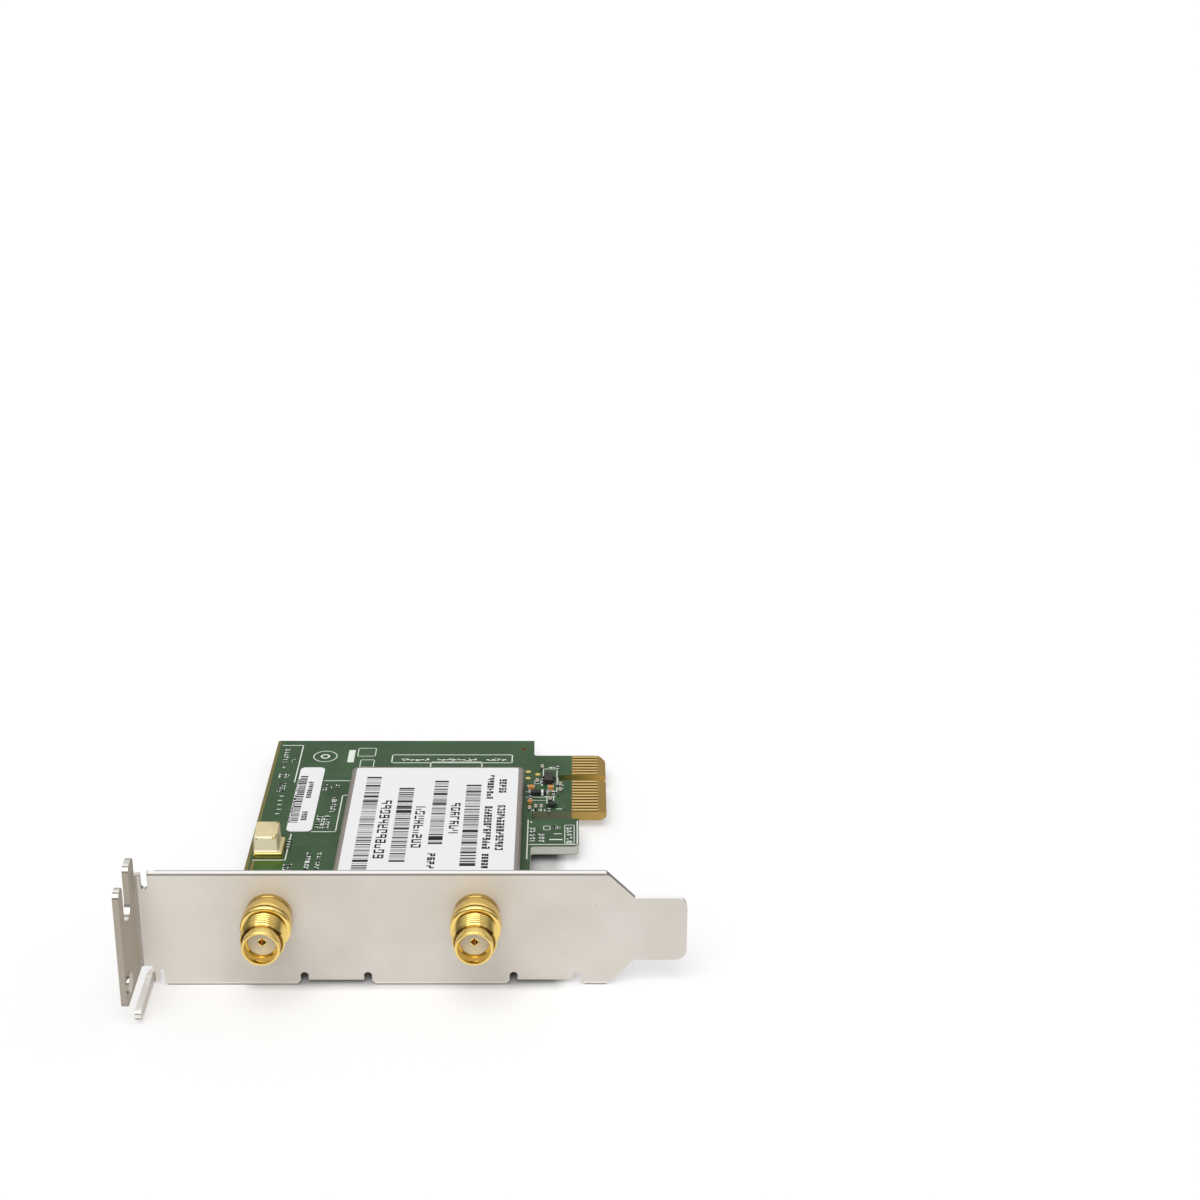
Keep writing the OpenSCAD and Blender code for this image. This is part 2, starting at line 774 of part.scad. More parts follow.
// The ferrule crimped over a jack's stem; it necks down on the lead.
module crimp_ferrule(i) {
    start = rear_len + 0.1;
    wall = (ferrule_d - stem_d) / 2 - running_gap / 2;
    inner_r = ferrule_d / 2 - wall;
    neck_r = lead_d / 2 + running_gap / 2;
    stem_end = rear_len + stem_len + 0.1;
    end = start + ferrule_len;
    color([0.84, 0.67, 0.30]) on_jack(i) rotate_extrude($fn = round_fn) polygon([
        [inner_r, -start], [inner_r + wall, -start], [inner_r + wall, -stem_end],
        [neck_r + wall, -end], [neck_r, -end], [neck_r, -stem_end], [inner_r, -stem_end]
    ]);
}

// Points that a lead's middle line passes through, from its jack to its plug.
function lead_points(i) =
    let (s = i == 0 ? -1 : 1, jx = jack_xs[i], px = socket_xs[i] + s * barrel_x, py = socket_y)
    i == 0
    ? [
        [jx, lead_start_y, jack_z], [jx, 6.6, jack_z], [jx, 8.4, jack_z], [jx + 0.1, 10, jack_z - 0.2],
        [jx + 0.5, 11.4, jack_z - 0.9], [jx + 1.4, 12.6, jack_z - 2.1], [jx + 2.8, 13.3, jack_z - 3.4],
        [jx + 4.6, 13.4, jack_z - 4.7], [px - 5.6, py + 3.3, lead_z + 1.5],
        [px - 3.8, py + 2, lead_z + 0.7], [px - 2.2, py + 0.8, lead_z + 0.2],
        [px - 1, py + 0.1, lead_z], [px, py, lead_z], [px + 0.8, py, lead_z]
    ]
    : [
        [jx, lead_start_y, jack_z], [jx, 6.6, jack_z], [jx, 8.4, jack_z], [jx + 0.1, 10, jack_z - 0.2],
        [jx + 0.4, 11.5, jack_z - 0.7], [jx + 1, 12.9, jack_z - 1.6], [jx + 1.5, 13.8, jack_z - 2.9],
        [jx + 1.5, 13.9, jack_z - 4.4], [jx + 0.6, 13.2, jack_z - 5.7],
        [px + 4.5, py + 2.5, lead_z + 0.9], [px + 3, py + 1.4, lead_z + 0.45],
        [px + 1.6, py + 0.5, lead_z + 0.1], [px + 0.7, py + 0.1, lead_z], [px, py, lead_z],
        [px - 0.8, py, lead_z]
    ];

// A point on the smooth curve through the points p, between p[k] and p[k + 1].
function curve_point(p, k, t) =
    let (
        n = len(p) - 1, a = p[max(k - 1, 0)], b = p[k], c = p[k + 1], d = p[min(k + 2, n)],
        m1 = (c - a) / 2, m2 = (d - b) / 2
    )
    b * (2 * t ^ 3 - 3 * t ^ 2 + 1) + m1 * (t ^ 3 - 2 * t ^ 2 + t)
    + c * (3 * t ^ 2 - 2 * t ^ 3) + m2 * (t ^ 3 - t ^ 2);

// All points of the smooth curve, with the given number of steps between neighbours.
function curve(p, steps) = [
    for (k = [0 : len(p) - 2]) for (j = [0 : steps - 1]) curve_point(p, k, j / steps),
    p[len(p) - 1]
];

function unit(v) = v / norm(v);

// The upright direction of the tube's ring, kept square to the path's direction d.
function ring_side(d, last) = unit(last - d * (last * d));

// Sideways directions of all rings, each turned as little as possible from the one before.
function ring_sides(dirs) = [
    for (k = 0, side = ring_side(dirs[0], [1, 0, 0.2]); k < len(dirs);
        k = k + 1, side = ring_side(dirs[min(k, len(dirs) - 1)], side)) side
];

// A tube of the given diameter swept along a path, closed at both ends.
module swept_tube(path, d, sides) {
    last = len(path) - 1;
    dirs = [for (k = [0 : last]) unit(path[min(k + 1, last)] - path[max(k - 1, 0)])];
    across = ring_sides(dirs);
    points = [
        for (k = [0 : last]) for (j = [0 : sides - 1])
        let (a = 360 * j / sides, up = cross(dirs[k], across[k]))
        path[k] + d / 2 * (cos(a) * across[k] + sin(a) * up)
    ];
    walls = [
        for (k = [0 : last - 1]) for (j = [0 : sides - 1])
        let (a = k * sides, b = a + sides, n = (j + 1) % sides) [a + n, a + j, b + j, b + n]
    ];
    first_cap = [for (j = [0 : sides - 1]) j];
    last_cap = [for (j = [sides - 1 : -1 : 0]) last * sides + j];
    polyhedron(points = points, faces = concat([first_cap], walls, [last_cap]));
}

// A coaxial lead, from inside its jack's stem to inside its plug.
module coax_lead(i) {
    color([0.10, 0.10, 0.11]) place() swept_tube(curve(lead_points(i), 3), lead_d, 8);
}

// The right-angled plug on the board end of a lead; s points to its crimping barrel.
module lead_plug(i) {
    s = i == 0 ? -1 : 1;
    crimp_d = lead_d + 0.5;
    color([0.86, 0.69, 0.32]) place() {
        translate([socket_xs[i], socket_y, board_top + plug_lift]) difference() {
            union() {
                cylinder(h = plug_h, d = plug_d, $fn = round_fn);
                translate([0, 0, lead_z - board_top - plug_lift]) rotate([0, s * 90, 0]) {
                    cylinder(h = barrel_x, d = crimp_d, $fn = small_fn);
                }
            }
            translate([0, 0, -cut]) {
                cylinder(h = plug_h + cut - plug_wall, d = plug_d - 2 * plug_wall, $fn = round_fn);
            }
            translate([0, 0, lead_z - board_top - plug_lift]) rotate([0, s * 90, 0]) {
                cylinder(h = barrel_x + cut, d = lead_d + running_gap, $fn = small_fn);
            }
            translate([-plug_d, -plug_d, -cut]) cube([2 * plug_d, 2 * plug_d, cut]);
        }
    }
}

// A surface-mounted coaxial socket: base, ring and centre pin.
module board_socket(i) {
    base = [3, 2.6, 0.35];
    ring_d = plug_d - 2 * 0.3;
    color([0.87, 0.75, 0.42]) place() translate([socket_xs[i], socket_y, board_top]) {
        translate([-base[0] / 2, -base[1] / 2, 0]) cube(base);
        difference() {
            cylinder(h = 0.95, d = ring_d, $fn = round_fn);
            translate([0, 0, base[2]]) cylinder(h = 1, d = ring_d - 0.36, $fn = round_fn);
        }
        cylinder(h = 0.8, d = 0.5, $fn = small_fn);
    }
}

// Section of the clip across one wall: the wall stands at 0 and its foot flares out to the left.
module clip_section(length) {
    reach = clip_flare + clip_rim;
    difference() {
        square([length, clip_h]);
        corner_cut([0, clip_h], clip_edge, 3);
        corner_cut([length, clip_h], clip_edge, 2);
    }
    translate([-reach, 0]) square([length + reach, clip_rim]);
    corner_fill([0, clip_rim], clip_flare, 1);
}

// A gold-plated clip at the board's left edge: a cap whose near and right walls flare at the
// foot. The sections across both walls are crossed, so the flares meet in a mitre.
module plated_clip() {
    lo = [board_left_x + clip_inset, clip_y];
    hi = lo + [clip_w, clip_len];
    reach = clip_flare + clip_rim + cut;
    roll_d = 0.4;
    dimple_d = 0.34;
    dimple_depth = 0.08;
    top = board_top + clip_h;
    color([0.86, 0.78, 0.60]) place() difference() {
        intersection() {
            along_x(lo[0] - cut, clip_w + reach + cut) {
                translate([lo[1], board_top]) clip_section(clip_len);
            }
            translate([0, hi[1] + cut, 0]) rotate([90, 0, 0]) linear_extrude(clip_len + reach + cut) {
                translate([hi[0], board_top]) mirror([1, 0]) clip_section(clip_w);
            }
        }
        translate([lo[0] + clip_wall, lo[1] + clip_wall, board_top - cut]) {
            cube([clip_w - 2 * clip_wall, clip_len - 2 * clip_wall, clip_h + cut - clip_wall]);
        }
        translate([hi[0] - 2 * roll_d, lo[1], top - roll_d]) {
            cylinder(h = roll_d + cut, d = roll_d, $fn = small_fn);
        }
        translate([hi[0] - dimple_d - clip_edge, hi[1] - dimple_d - clip_edge, top - dimple_depth]) {
            cylinder(h = cut, d = dimple_d, $fn = small_fn);
        }
        translate([lo[0] + dimple_d + clip_edge, lo[1] + dimple_depth, top - dimple_d - clip_edge]) {
            rotate([90, 0, 0]) cylinder(h = cut, d = dimple_d, $fn = small_fn);
        }
    }
}

// A flat chip package with contact pads that show at its four sides.
module quad_chip(p, w, h, pads, pitch) {
    pad = [0.24, 0.1, 0.2];
    translate([p[0], p[1], board_top]) difference() {
        union() {
            translate([-w / 2, -w / 2, 0]) cube([w, w, h]);
            for (turn = [0 : 90 : 270]) rotate([0, 0, turn]) for (k = [0 : pads - 1]) {
                translate([(k - (pads - 1) / 2) * pitch - pad[0] / 2, w / 2 - eps, 0]) cube(pad);
            }
        }
        translate([-w / 2 + w / 8, w / 2 - w / 8, h - 0.08]) cylinder(h = 1, d = w / 12, $fn = small_fn);
    }
}

// A chip package with gull-wing leads on its two long sides.
module gull_chip(p, size, leads, pitch) {
    foot = [0.55, 0.14];
    lead_w = 0.38;
    stand = 0.1;
    color([0.10, 0.10, 0.10]) translate([p[0], p[1], board_top]) {
        translate([-size[0] / 2, -size[1] / 2, stand]) difference() {
            cube(size);
            translate([size[0] * 0.25, size[1] * 0.85, size[2] - 0.08]) {
                cylinder(h = 1, d = 0.35, $fn = small_fn);
            }
        }
        for (side = [0, 180]) rotate([0, 0, side]) for (k = [0 : leads - 1]) {
            translate([size[0] / 2 - eps, (k - (leads - 1) / 2) * pitch + lead_w / 2, 0]) {
                rotate([90, 0, 0]) linear_extrude(lead_w) polygon([
                    [0, size[2] * 0.5], [0.2, size[2] * 0.5], [0.32, foot[1]], [foot[0], foot[1]],
                    [foot[0], 0], [0.2, 0], [0.1, size[2] * 0.5 - foot[1]],
                    [0, size[2] * 0.5 - foot[1]]
                ]);
            }
        }
    }
}

// A two-ended chip part that lies along X, or along Y when it is turned.
module chip_part(p, size, turned) {
    cap = size[0] * 0.22;
    proud = 0.03;
    translate([p[0], p[1], board_top]) rotate([0, 0, turned ? 90 : 0]) {
        translate([-size[0] / 2, -size[1] / 2, 0]) cube(size);
        for (x = [-size[0] / 2, size[0] / 2 - cap]) {
            translate([x, -size[1] / 2 - proud, 0]) cube([cap, size[1] + 2 * proud, size[2] + proud]);
        }
    }
}

shield_mid = [shield_x + shield_w / 2, (shield_near_y + shield_far_y) / 2];
radio_w = 9;
radio_pads = 16;
radio_spot = shield_mid + [-1, 0];
front_end_spots = [shield_mid + [-7, -14.5], shield_mid + [6, -14.5]];
side_spot = [shield_right_x, key_y];

// The radio chip in the middle of the shielded section.
module radio_chip() {
    color([0.12, 0.12, 0.13]) place() quad_chip(radio_spot, radio_w, 0.85, radio_pads, 0.5);
}

// The amplifier and switch chips, one for each antenna.
module front_end(i) {
    color([0.13, 0.13, 0.14]) place() quad_chip(front_end_spots[i], 3, 0.75, 4, 0.5);
}

// The crystal: a metal lid on a ceramic base.
module crystal() {
    base = [3.2, 2.5, 0.5];
    lid = [2.8, 2.1, 0.25];
    spot = radio_spot + [-radio_w / 2 - 3.4, 2];
    color([0.75, 0.74, 0.70]) place() translate([spot[0], spot[1], board_top]) {
        translate([-base[0] / 2, -base[1] / 2, 0]) cube(base);
        translate([-lid[0] / 2, -lid[1] / 2, base[2] - eps]) cube(lid);
    }
}

// The settings memory beside the radio chip.
module memory_chip() {
    place() gull_chip(radio_spot + [radio_w / 2 + 5, -3], [3.9, 4.9, 1.4], 4, 1.27);
}

// The inductor of the supply: a ferrite drum with squared flanges.
module power_inductor() {
    w = 3;
    h = 1.3;
    flange = 0.3;
    spot = radio_spot + [radio_w / 2 + 5, 6];
    color([0.20, 0.20, 0.21]) place() translate([spot[0], spot[1], board_top]) {
        for (z = [0, h - flange]) translate([-w / 2, -w / 2, z]) cube([w, w, flange]);
        cylinder(h = h, d = w * 0.85, $fn = round_fn);
    }
}

// Small capacitors round the radio chip and along the two antenna paths.
module inner_capacitors() {
    size = [1, 0.5, 0.5];
    reach = radio_w / 2 + 1.1;
    color([0.70, 0.56, 0.40]) place() {
        for (k = [-3 : 3]) for (side = [-1, 1]) {
            chip_part(radio_spot + [k * 1.2, side * (reach + 0.4)], size, true);
        }
        for (f = front_end_spots) for (k = [0 : 3]) {
            chip_part(f + [(k - 1.5) * 1.1, 3], size, true);
        }
    }
}

// Small resistors beside the radio chip.
module inner_resistors() {
    size = [1, 0.5, 0.35];
    color([0.14, 0.14, 0.14]) place() {
        for (k = [0 : 4]) chip_part(radio_spot + [-radio_w / 2 - 1.3, -4 + k * 0.9], size, false);
        for (f = front_end_spots) for (k = [0 : 2]) {
            chip_part(f + [(k - 1) * 1.2, -2.9], size, true);
        }
    }
}

// The orange capacitors between the shield and the connector.
module tantalum_capacitors() {
    parts = [
        [[1.25, -4.2], [1.3, 0.85, 0.65]], [[4.5, -4.3], [1.1, 0.85, 0.65]],
        [[1.15, -9.15], [0.9, 0.75, 0.55]]
    ];
    color([0.80, 0.55, 0.26]) place() for (part = parts) chip_part(side_spot + part[0], part[1], false);
}

// The black diode with a pale band.
module power_diode() {
    spot = [2.5, -6.05];
    size = [3.4, 0.95, 0.65];
    color([0.10, 0.10, 0.10]) place() chip_part(side_spot + spot, size, false);
}

// The six-lead supply chip near the connector.
module logic_chip() {
    spot = [4.1, -1.15];
    size = [1.35, 2.85, 0.8];
    place() gull_chip(side_spot + spot, size, 3, 0.95);
}

// The small reset chip nearer the lug.
module reset_chip() {
    spot = [4.75, -10.1];
    size = [0.8, 1.3, 0.5];
    place() gull_chip(side_spot + spot, size, 2, 0.7);
}

// Small capacitors on the open part of the board.
module chip_capacitors() {
    size = [1, 0.5, 0.5];
    spots = [
        [2.2, -1.75], [2.1, -10.9], [3, -10.9], [6.1, -3], [6.1, -5], [1.1, -11.4], [3, 3.4],
        [4.47, -8.2]
    ];
    clip_spot = [board_left_x + 6.1, clip_y + 2.5];
    clip_step = 1.7;
    color([0.72, 0.60, 0.44]) place() {
        for (s = spots) chip_part(side_spot + s, size, true);
        for (k = [0 : 1]) chip_part(clip_spot + [0, k * clip_step], size, true);
    }
}

// Small resistors on the open part of the board.
module chip_resistors() {
    size = [1, 0.5, 0.35];
    spots = [[1.2, -7.7], [5, -6.1], [4.3, -12], [5.6, 3.1]];
    color([0.15, 0.15, 0.15]) place() for (s = spots) chip_part(side_spot + s, size, true);
}

bracket();
bracket_screws();
main_board();
edge_contacts_top();
edge_contacts_bottom();
test_pads();
shield_frame();
shield_cover();
shield_label();
serial_label();
jack_body(0);  // jack_body_1
jack_body(1);  // jack_body_2
jack_insulator(0);  // jack_insulator_1
jack_insulator(1);  // jack_insulator_2
jack_contact(0);  // jack_contact_1
jack_contact(1);  // jack_contact_2
lock_washer(0);  // lock_washer_1
lock_washer(1);  // lock_washer_2
jack_nut(0);  // jack_nut_1
jack_nut(1);  // jack_nut_2
crimp_ferrule(0);  // crimp_ferrule_1
crimp_ferrule(1);  // crimp_ferrule_2
coax_lead(0);  // coax_lead_1
coax_lead(1);  // coax_lead_2
lead_plug(0);  // lead_plug_1
lead_plug(1);  // lead_plug_2
board_socket(0);  // board_socket_1
board_socket(1);  // board_socket_2
plated_clip();
radio_chip();
crystal();
front_end(0);  // front_end_1
front_end(1);  // front_end_2
memory_chip();
power_inductor();
inner_capacitors();
inner_resistors();
tantalum_capacitors();
power_diode();
logic_chip();
reset_chip();
chip_capacitors();
chip_resistors();
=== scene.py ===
import math
import bmesh
import bpy
import numpy as np
from mathutils import Matrix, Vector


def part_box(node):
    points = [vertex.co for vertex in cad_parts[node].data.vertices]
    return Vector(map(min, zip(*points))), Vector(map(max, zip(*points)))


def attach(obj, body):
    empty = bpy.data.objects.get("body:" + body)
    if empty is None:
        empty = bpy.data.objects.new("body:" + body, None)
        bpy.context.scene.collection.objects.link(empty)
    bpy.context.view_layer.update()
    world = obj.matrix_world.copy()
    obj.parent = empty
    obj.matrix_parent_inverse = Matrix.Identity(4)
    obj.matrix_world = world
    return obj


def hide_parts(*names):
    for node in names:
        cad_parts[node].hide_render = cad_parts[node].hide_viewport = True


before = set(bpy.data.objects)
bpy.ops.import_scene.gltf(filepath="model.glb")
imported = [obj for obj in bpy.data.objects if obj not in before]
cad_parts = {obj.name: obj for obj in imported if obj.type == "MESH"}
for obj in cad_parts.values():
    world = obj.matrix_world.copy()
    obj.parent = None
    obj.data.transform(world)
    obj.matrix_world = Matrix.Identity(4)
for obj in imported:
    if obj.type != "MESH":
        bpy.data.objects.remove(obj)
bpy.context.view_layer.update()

# Low-profile wireless network card, dressed for a white-floor studio picture.
# Every size below is in millimetres on the card: x from the ear's outer face, y from the plate's
# front face, z from the floor. toFrame turns those into the frame's metres.
mm = 0.001
earReach = 11.43
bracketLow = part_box("bracket")[0]
plateTop = 18.42
cardOrigin = np.array([bracketLow.x, bracketLow.y + earReach * mm, 0.0])


def toFrame(points):  # metres = millimetres / 1000 + the card's origin
    return np.asarray(points, float) * mm + cardOrigin


def nodeBox(node):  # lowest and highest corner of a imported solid, on the card
    low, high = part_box(node)
    return (np.array(low) - cardOrigin) / mm, (np.array(high) - cardOrigin) / mm


boardLow, boardHigh = nodeBox("main_board")
contactLow, contactHigh = nodeBox("edge_contacts_top")
clipLow, clipHigh = nodeBox("plated_clip")
boardTop = boardHigh[2]
labelTop = nodeBox("shield_label")[1][2]
serialTop = nodeBox("serial_label")[1][2]
contactWide, contactPitch = 0.7, 1.0
jackX, jackZ = (19.5, 49.1), 11.75
upHint = [0.0, 0.3, 1.0]  # leans a little, so that no lead, lamp or view runs along it


# Shader maths

class Value:  # a socket that adds, subtracts, multiplies, divides and compares like a number
    def __init__(self, shader, socket):
        self.shader = shader
        self.socket = socket

    def maths(self, kind, a, b):
        return self.shader.add("ShaderNodeMath", {"operation": kind}, {0: a, 1: b})

    def __add__(self, other):
        return self.maths("ADD", self, other)

    def __sub__(self, other):
        return self.maths("SUBTRACT", self, other)

    def __rsub__(self, other):
        return self.maths("SUBTRACT", other, self)

    def __mul__(self, other):
        return self.maths("MULTIPLY", self, other)

    def __truediv__(self, other):
        return self.maths("DIVIDE", self, other)

    def __rtruediv__(self, other):
        return self.maths("DIVIDE", other, self)

    def __pow__(self, other):
        return self.maths("POWER", self, other)

    def __mod__(self, other):
        return self.maths("FLOORED_MODULO", self, other)

    def __gt__(self, other):
        return self.maths("GREATER_THAN", self, other)

    def __lt__(self, other):
        return self.maths("LESS_THAN", self, other)

    def __abs__(self):
        return self.maths("ABSOLUTE", self, 0.0)

    __radd__ = __add__
    __rmul__ = __mul__


class Shader:  # one node tree of a material or of the world
    def __init__(self, name, world=None):
        self.owner = world or bpy.data.materials.new(name)
        self.owner.use_nodes = True
        self.tree = self.owner.node_tree
        self.tree.nodes.clear()

    def add(self, kind, settings=None, sockets=None, out=0):
        node = self.tree.nodes.new(kind)
        for key, value in (settings or {}).items():
            if key == "stops":
                self.setStops(node.color_ramp, value)
            else:
                setattr(node, key, value)
        for key, value in (sockets or {}).items():
            if isinstance(value, Value):
                self.tree.links.new(value.socket, node.inputs[key])
            else:
                node.inputs[key].default_value = value
        return Value(self, node.outputs[out]) if len(node.outputs) else node

    def setStops(self, ramp, stops):  # (place, colour) pairs
        while len(ramp.elements) < len(stops):
            ramp.elements.new(0.5)
        for element, (place, colour) in zip(ramp.elements, stops):
            element.position = place
            element.color = colour

    def card(self):  # object coordinates moved to the card's origin and scaled to millimetres
        local = self.add("ShaderNodeTexCoord", out=3)
        moved = self.add("ShaderNodeVectorMath", {"operation": "SUBTRACT"},
                         {0: local, 1: tuple(cardOrigin)})
        return self.add("ShaderNodeVectorMath", {"operation": "SCALE"},
                        {0: moved, "Scale": 1 / mm})

    def axes(self, vector):
        return [self.add("ShaderNodeSeparateXYZ", None, {0: vector}, out=k) for k in range(3)]

    def normals(self, smoothed=True):  # x, y and z of the shaded normal, or of the flat face's own
        return self.axes(self.add("ShaderNodeNewGeometry", out=1 if smoothed else 3))

    def stretched(self, vector, factors):
        return self.add("ShaderNodeVectorMath", {"operation": "MULTIPLY"}, {0: vector, 1: factors})

    def clamped(self, value, times=1.0):  # value times a number, held between 0 and 1
        return self.add("ShaderNodeMath", {"operation": "MULTIPLY", "use_clamp": True},
                        {0: value, 1: times})

    def noise(self, vector, scale, detail=3.0, roughness=0.5):
        return self.add("ShaderNodeTexNoise", None, {
            "Vector": vector, "Scale": scale, "Detail": detail, "Roughness": roughness})

    def mix(self, factor, a, b):  # colours
        return self.add("ShaderNodeMix", {"data_type": "RGBA"}, {0: factor, 6: a, 7: b}, out=2)

    def ramp(self, factor, stops):
        return self.add("ShaderNodeValToRGB", {"stops": stops}, {0: factor})

    def rise(self, factor, start, end, before=0.0, after=1.0):  # straight from before to after
        return self.ramp(factor, [(start, grey(before)), (end, grey(after))])

    def bump(self, height, strength, distance):
        return self.add("ShaderNodeBump", None, {
            "Height": height, "Strength": strength, "Distance": distance})

    def surface(self, **sockets):
        names = {"colour": "Base Color", "rough": "Roughness", "metal": "Metallic",
                 "normal": "Normal", "specular": "Specular IOR Level"}
        shown = self.add("ShaderNodeBsdfPrincipled", None,
                         {names[key]: value for key, value in sockets.items()})
        self.add("ShaderNodeOutputMaterial", None, {"Surface": shown})
        return self.owner


def grey(level):
    return (level, level, level, 1.0)


def tone(red, green, blue):  # a colour as a screen shows it, 0 to 255, made linear
    def linear(level):
        level = level / 255
        return level / 12.92 if level <= 0.04045 else ((level + 0.055) / 1.055) ** 2.4
    return (linear(red), linear(green), linear(blue), 1.0)


def within(value, low, high):  # 1 where low < value < high
    return (value > low) * (value < high)


def disc(a, b, size):  # 1 where a and b are near 0: a squared plus b squared is under size
    return a * a + b * b < size


def larger(a, b):
    return a.maths("MAXIMUM", a, b)


def smaller(a, b):
    return a.maths("MINIMUM", a, b)


# Finishes

def makeNickel():
    # sheet faces are satin; sheared and folded edges are smoother; highlights are painted where edges look
    # up, shade on the rounded edges and the ear, and light on the front near the ear
    look = {
        "plate": tone(227, 221, 213), "cloud": tone(219, 212, 203), "stain": tone(176, 164, 150),
        "sheared": tone(240, 235, 228), "ear": tone(178, 169, 155), "rounded": tone(112, 106, 98),
        "top": tone(255, 254, 252), "nearEarLight": tone(252, 247, 240),
        "square": 0.9, "bent": 0.3, "facing": 0.5,  # limits of the normals' parts and products
        "frontX": 1.2, "frontY": 0.3, "palerReach": 40.0, "palerFade": (0.06, 0.34),
        "topLine": (0.42, 0.12), "footLine": (0.2, -0.1), "footHighlight": (0.2, 0.5),
        "backLine": (3.5, 0.64, 0.25), "earX": 1.3, "earY": -0.6,
        "sideX": 2.6, "tabY": 0.9, "tabZ": 1.6,  # where the ear's and the finger's sheet ends; the tabs'
        "up": 0.75, "topX": 2.7, "topZ": 8.0, "fingerY": -1.0, "fingerZ": 2.6}
    s = Shader("satin nickel plate")
    p = s.card()
    x, y, z = s.axes(p)
    nx, ny, nz = s.normals(smoothed=False)
    sx, sy, sz = s.normals()
    square = look["square"]
    rounded = (abs(sy * sz) + abs(sx * sz) + abs(sx * sy)) > look["bent"]
    front = (ny < -square) * (y < look["frontY"]) * (x > look["frontX"])
    # painted shade: a dark line just under the front's top edge, and one along its foot
    below, above = look["topLine"]
    rimShade = within(z, plateTop - below, plateTop - above) * front
    footZ, footY = look["footLine"]
    rimShade = rimShade + (z < footZ) * (ny < -look["facing"]) * (y > footY)
    side = (abs(nx) > square) * (x < look["sideX"])
    tab = (abs(nz) > square) * (z < look["tabZ"]) * (y > look["tabY"])
    sheet = smaller((abs(ny) > square) + side + tab, 1.0)
    plateEdge = (z > look["topZ"]) * (x > look["topX"])
    fingerEdge = (z < look["fingerZ"]) * (y < look["fingerY"])
    upward = (nz > look["up"]) * (plateEdge + fingerEdge)
    cloud = s.noise(p, 0.11, 4.0, 0.55)
    fine = s.noise(p, 2.4, 5.0, 0.65)
    pits = s.add("ShaderNodeTexVoronoi", None, {"Vector": p, "Scale": 0.24, "Randomness": 1.0})
    colour = s.mix(s.rise(cloud, 0.35, 0.7), look["plate"], look["cloud"])
    colour = s.mix((pits < 0.03) * 0.7, colour, look["stain"])
    # painted light: the front grows paler towards the ear
    nearEar = s.rise(x / look["palerReach"], *look["palerFade"], 1.0, 0.0)
    colour = s.mix(nearEar * front * 0.9, colour, look["nearEarLight"])
    # painted shade: the ear's sheet is darker than the plate
    colour = s.mix((x < look["earX"]) * (y < look["earY"]), colour, look["ear"])
    colour = s.mix(1 - sheet, colour, look["sheared"])
    # painted shade on the rounded edges and on the lines at the top and the foot
    colour = s.mix(rounded * 0.7, colour, look["rounded"])
    colour = s.mix(rimShade * 0.75, colour, look["rounded"])
    # painted highlight on the edges that look up, and a fainter one in a band just above the foot
    colour = s.mix(upward, colour, look["top"])
    colour = s.mix(within(z, *look["footHighlight"]) * front * 0.5, colour, look["top"])
    # painted shade: a dark line along the back of the top edge
    backX, backY, backDrop = look["backLine"]
    back = (y > backY) * (z > plateTop - backDrop) * (x > backX)
    colour = s.mix(back * 0.75, colour, look["rounded"])
    rough = sheet * (fine * 0.12 + cloud * 0.1 + 0.4) + (1 - sheet) * 0.1
    return s.surface(colour=colour, metal=1 - upward * 0.9 - sheet * 0.72, rough=rough,
                     normal=s.bump(fine, 0.22, 0.00002))


def makeSteel(name, base, dark, rough):  # bare metal with soft clouds and a fine grain
    s = Shader(name)
    p = s.card()
    cloud = s.noise(p, 0.35, 4.0, 0.6)
    grain = s.noise(p, 6.0, 4.0, 0.7)
    return s.surface(colour=s.mix(cloud, base, dark), metal=1.0, rough=grain * 0.15 + rough,
                     normal=s.bump(grain, 0.15, 0.00001))


def makeJackGold():
    # painted shade darkens the thread valleys, the grooves, the socket and the foot of the barrel; fine
    # rings run round the turned faces
    look = {
        "bright": tone(252, 226, 146), "deep": tone(234, 196, 100), "paintedShade": tone(112, 76, 20),
        "thread": (-7.95, -4.4), "threadCore": 2.6, "crest": 3.08, "valleyRate": 4.5,
        "footY": -1.7, "footRate": 0.75, "rings": (0.2, 12.0, 0.2),
        "grooves": [(-3.62, -3.38, 3.5), (-0.97, -0.72, 3.32)],  # near, far and outside radius
        "socketY": -7.4, "socket": (1.0, 2.38)}
    s = Shader("turned gold")
    p = s.card()
    x, y, z = s.axes(p)
    across = abs(x - sum(jackX) / 2) - (jackX[1] - jackX[0]) / 2
    upwards = z - jackZ
    radius = (across * across + upwards * upwards) ** 0.5
    threaded = within(y, *look["thread"]) * (radius > look["threadCore"])
    low = s.clamped((look["crest"] - radius) * look["valleyRate"])
    foot = s.clamped((y - look["footY"]) * look["footRate"])
    groove = sum(within(y, near, far) * (radius < outside) for near, far, outside in look["grooves"])
    socket = (y < look["socketY"]) * within(radius, *look["socket"])
    cloud = s.noise(p, 0.8, 3.0, 0.5)
    rings = s.noise(s.stretched(p, look["rings"]), 1.0)
    colour = s.mix(cloud * 0.5 + rings * 0.5, look["bright"], look["deep"])
    # painted shade in the thread valleys, at the barrel's foot, in the grooves and in the socket
    for share in (threaded * low * 0.95, foot * 0.45, groove * 0.8, socket * 0.15):
        colour = s.mix(share, colour, look["paintedShade"])
    return s.surface(colour=colour, metal=1.0, rough=rings * 0.06 + 0.09,
                     normal=s.bump(rings, 0.1, 0.00001))


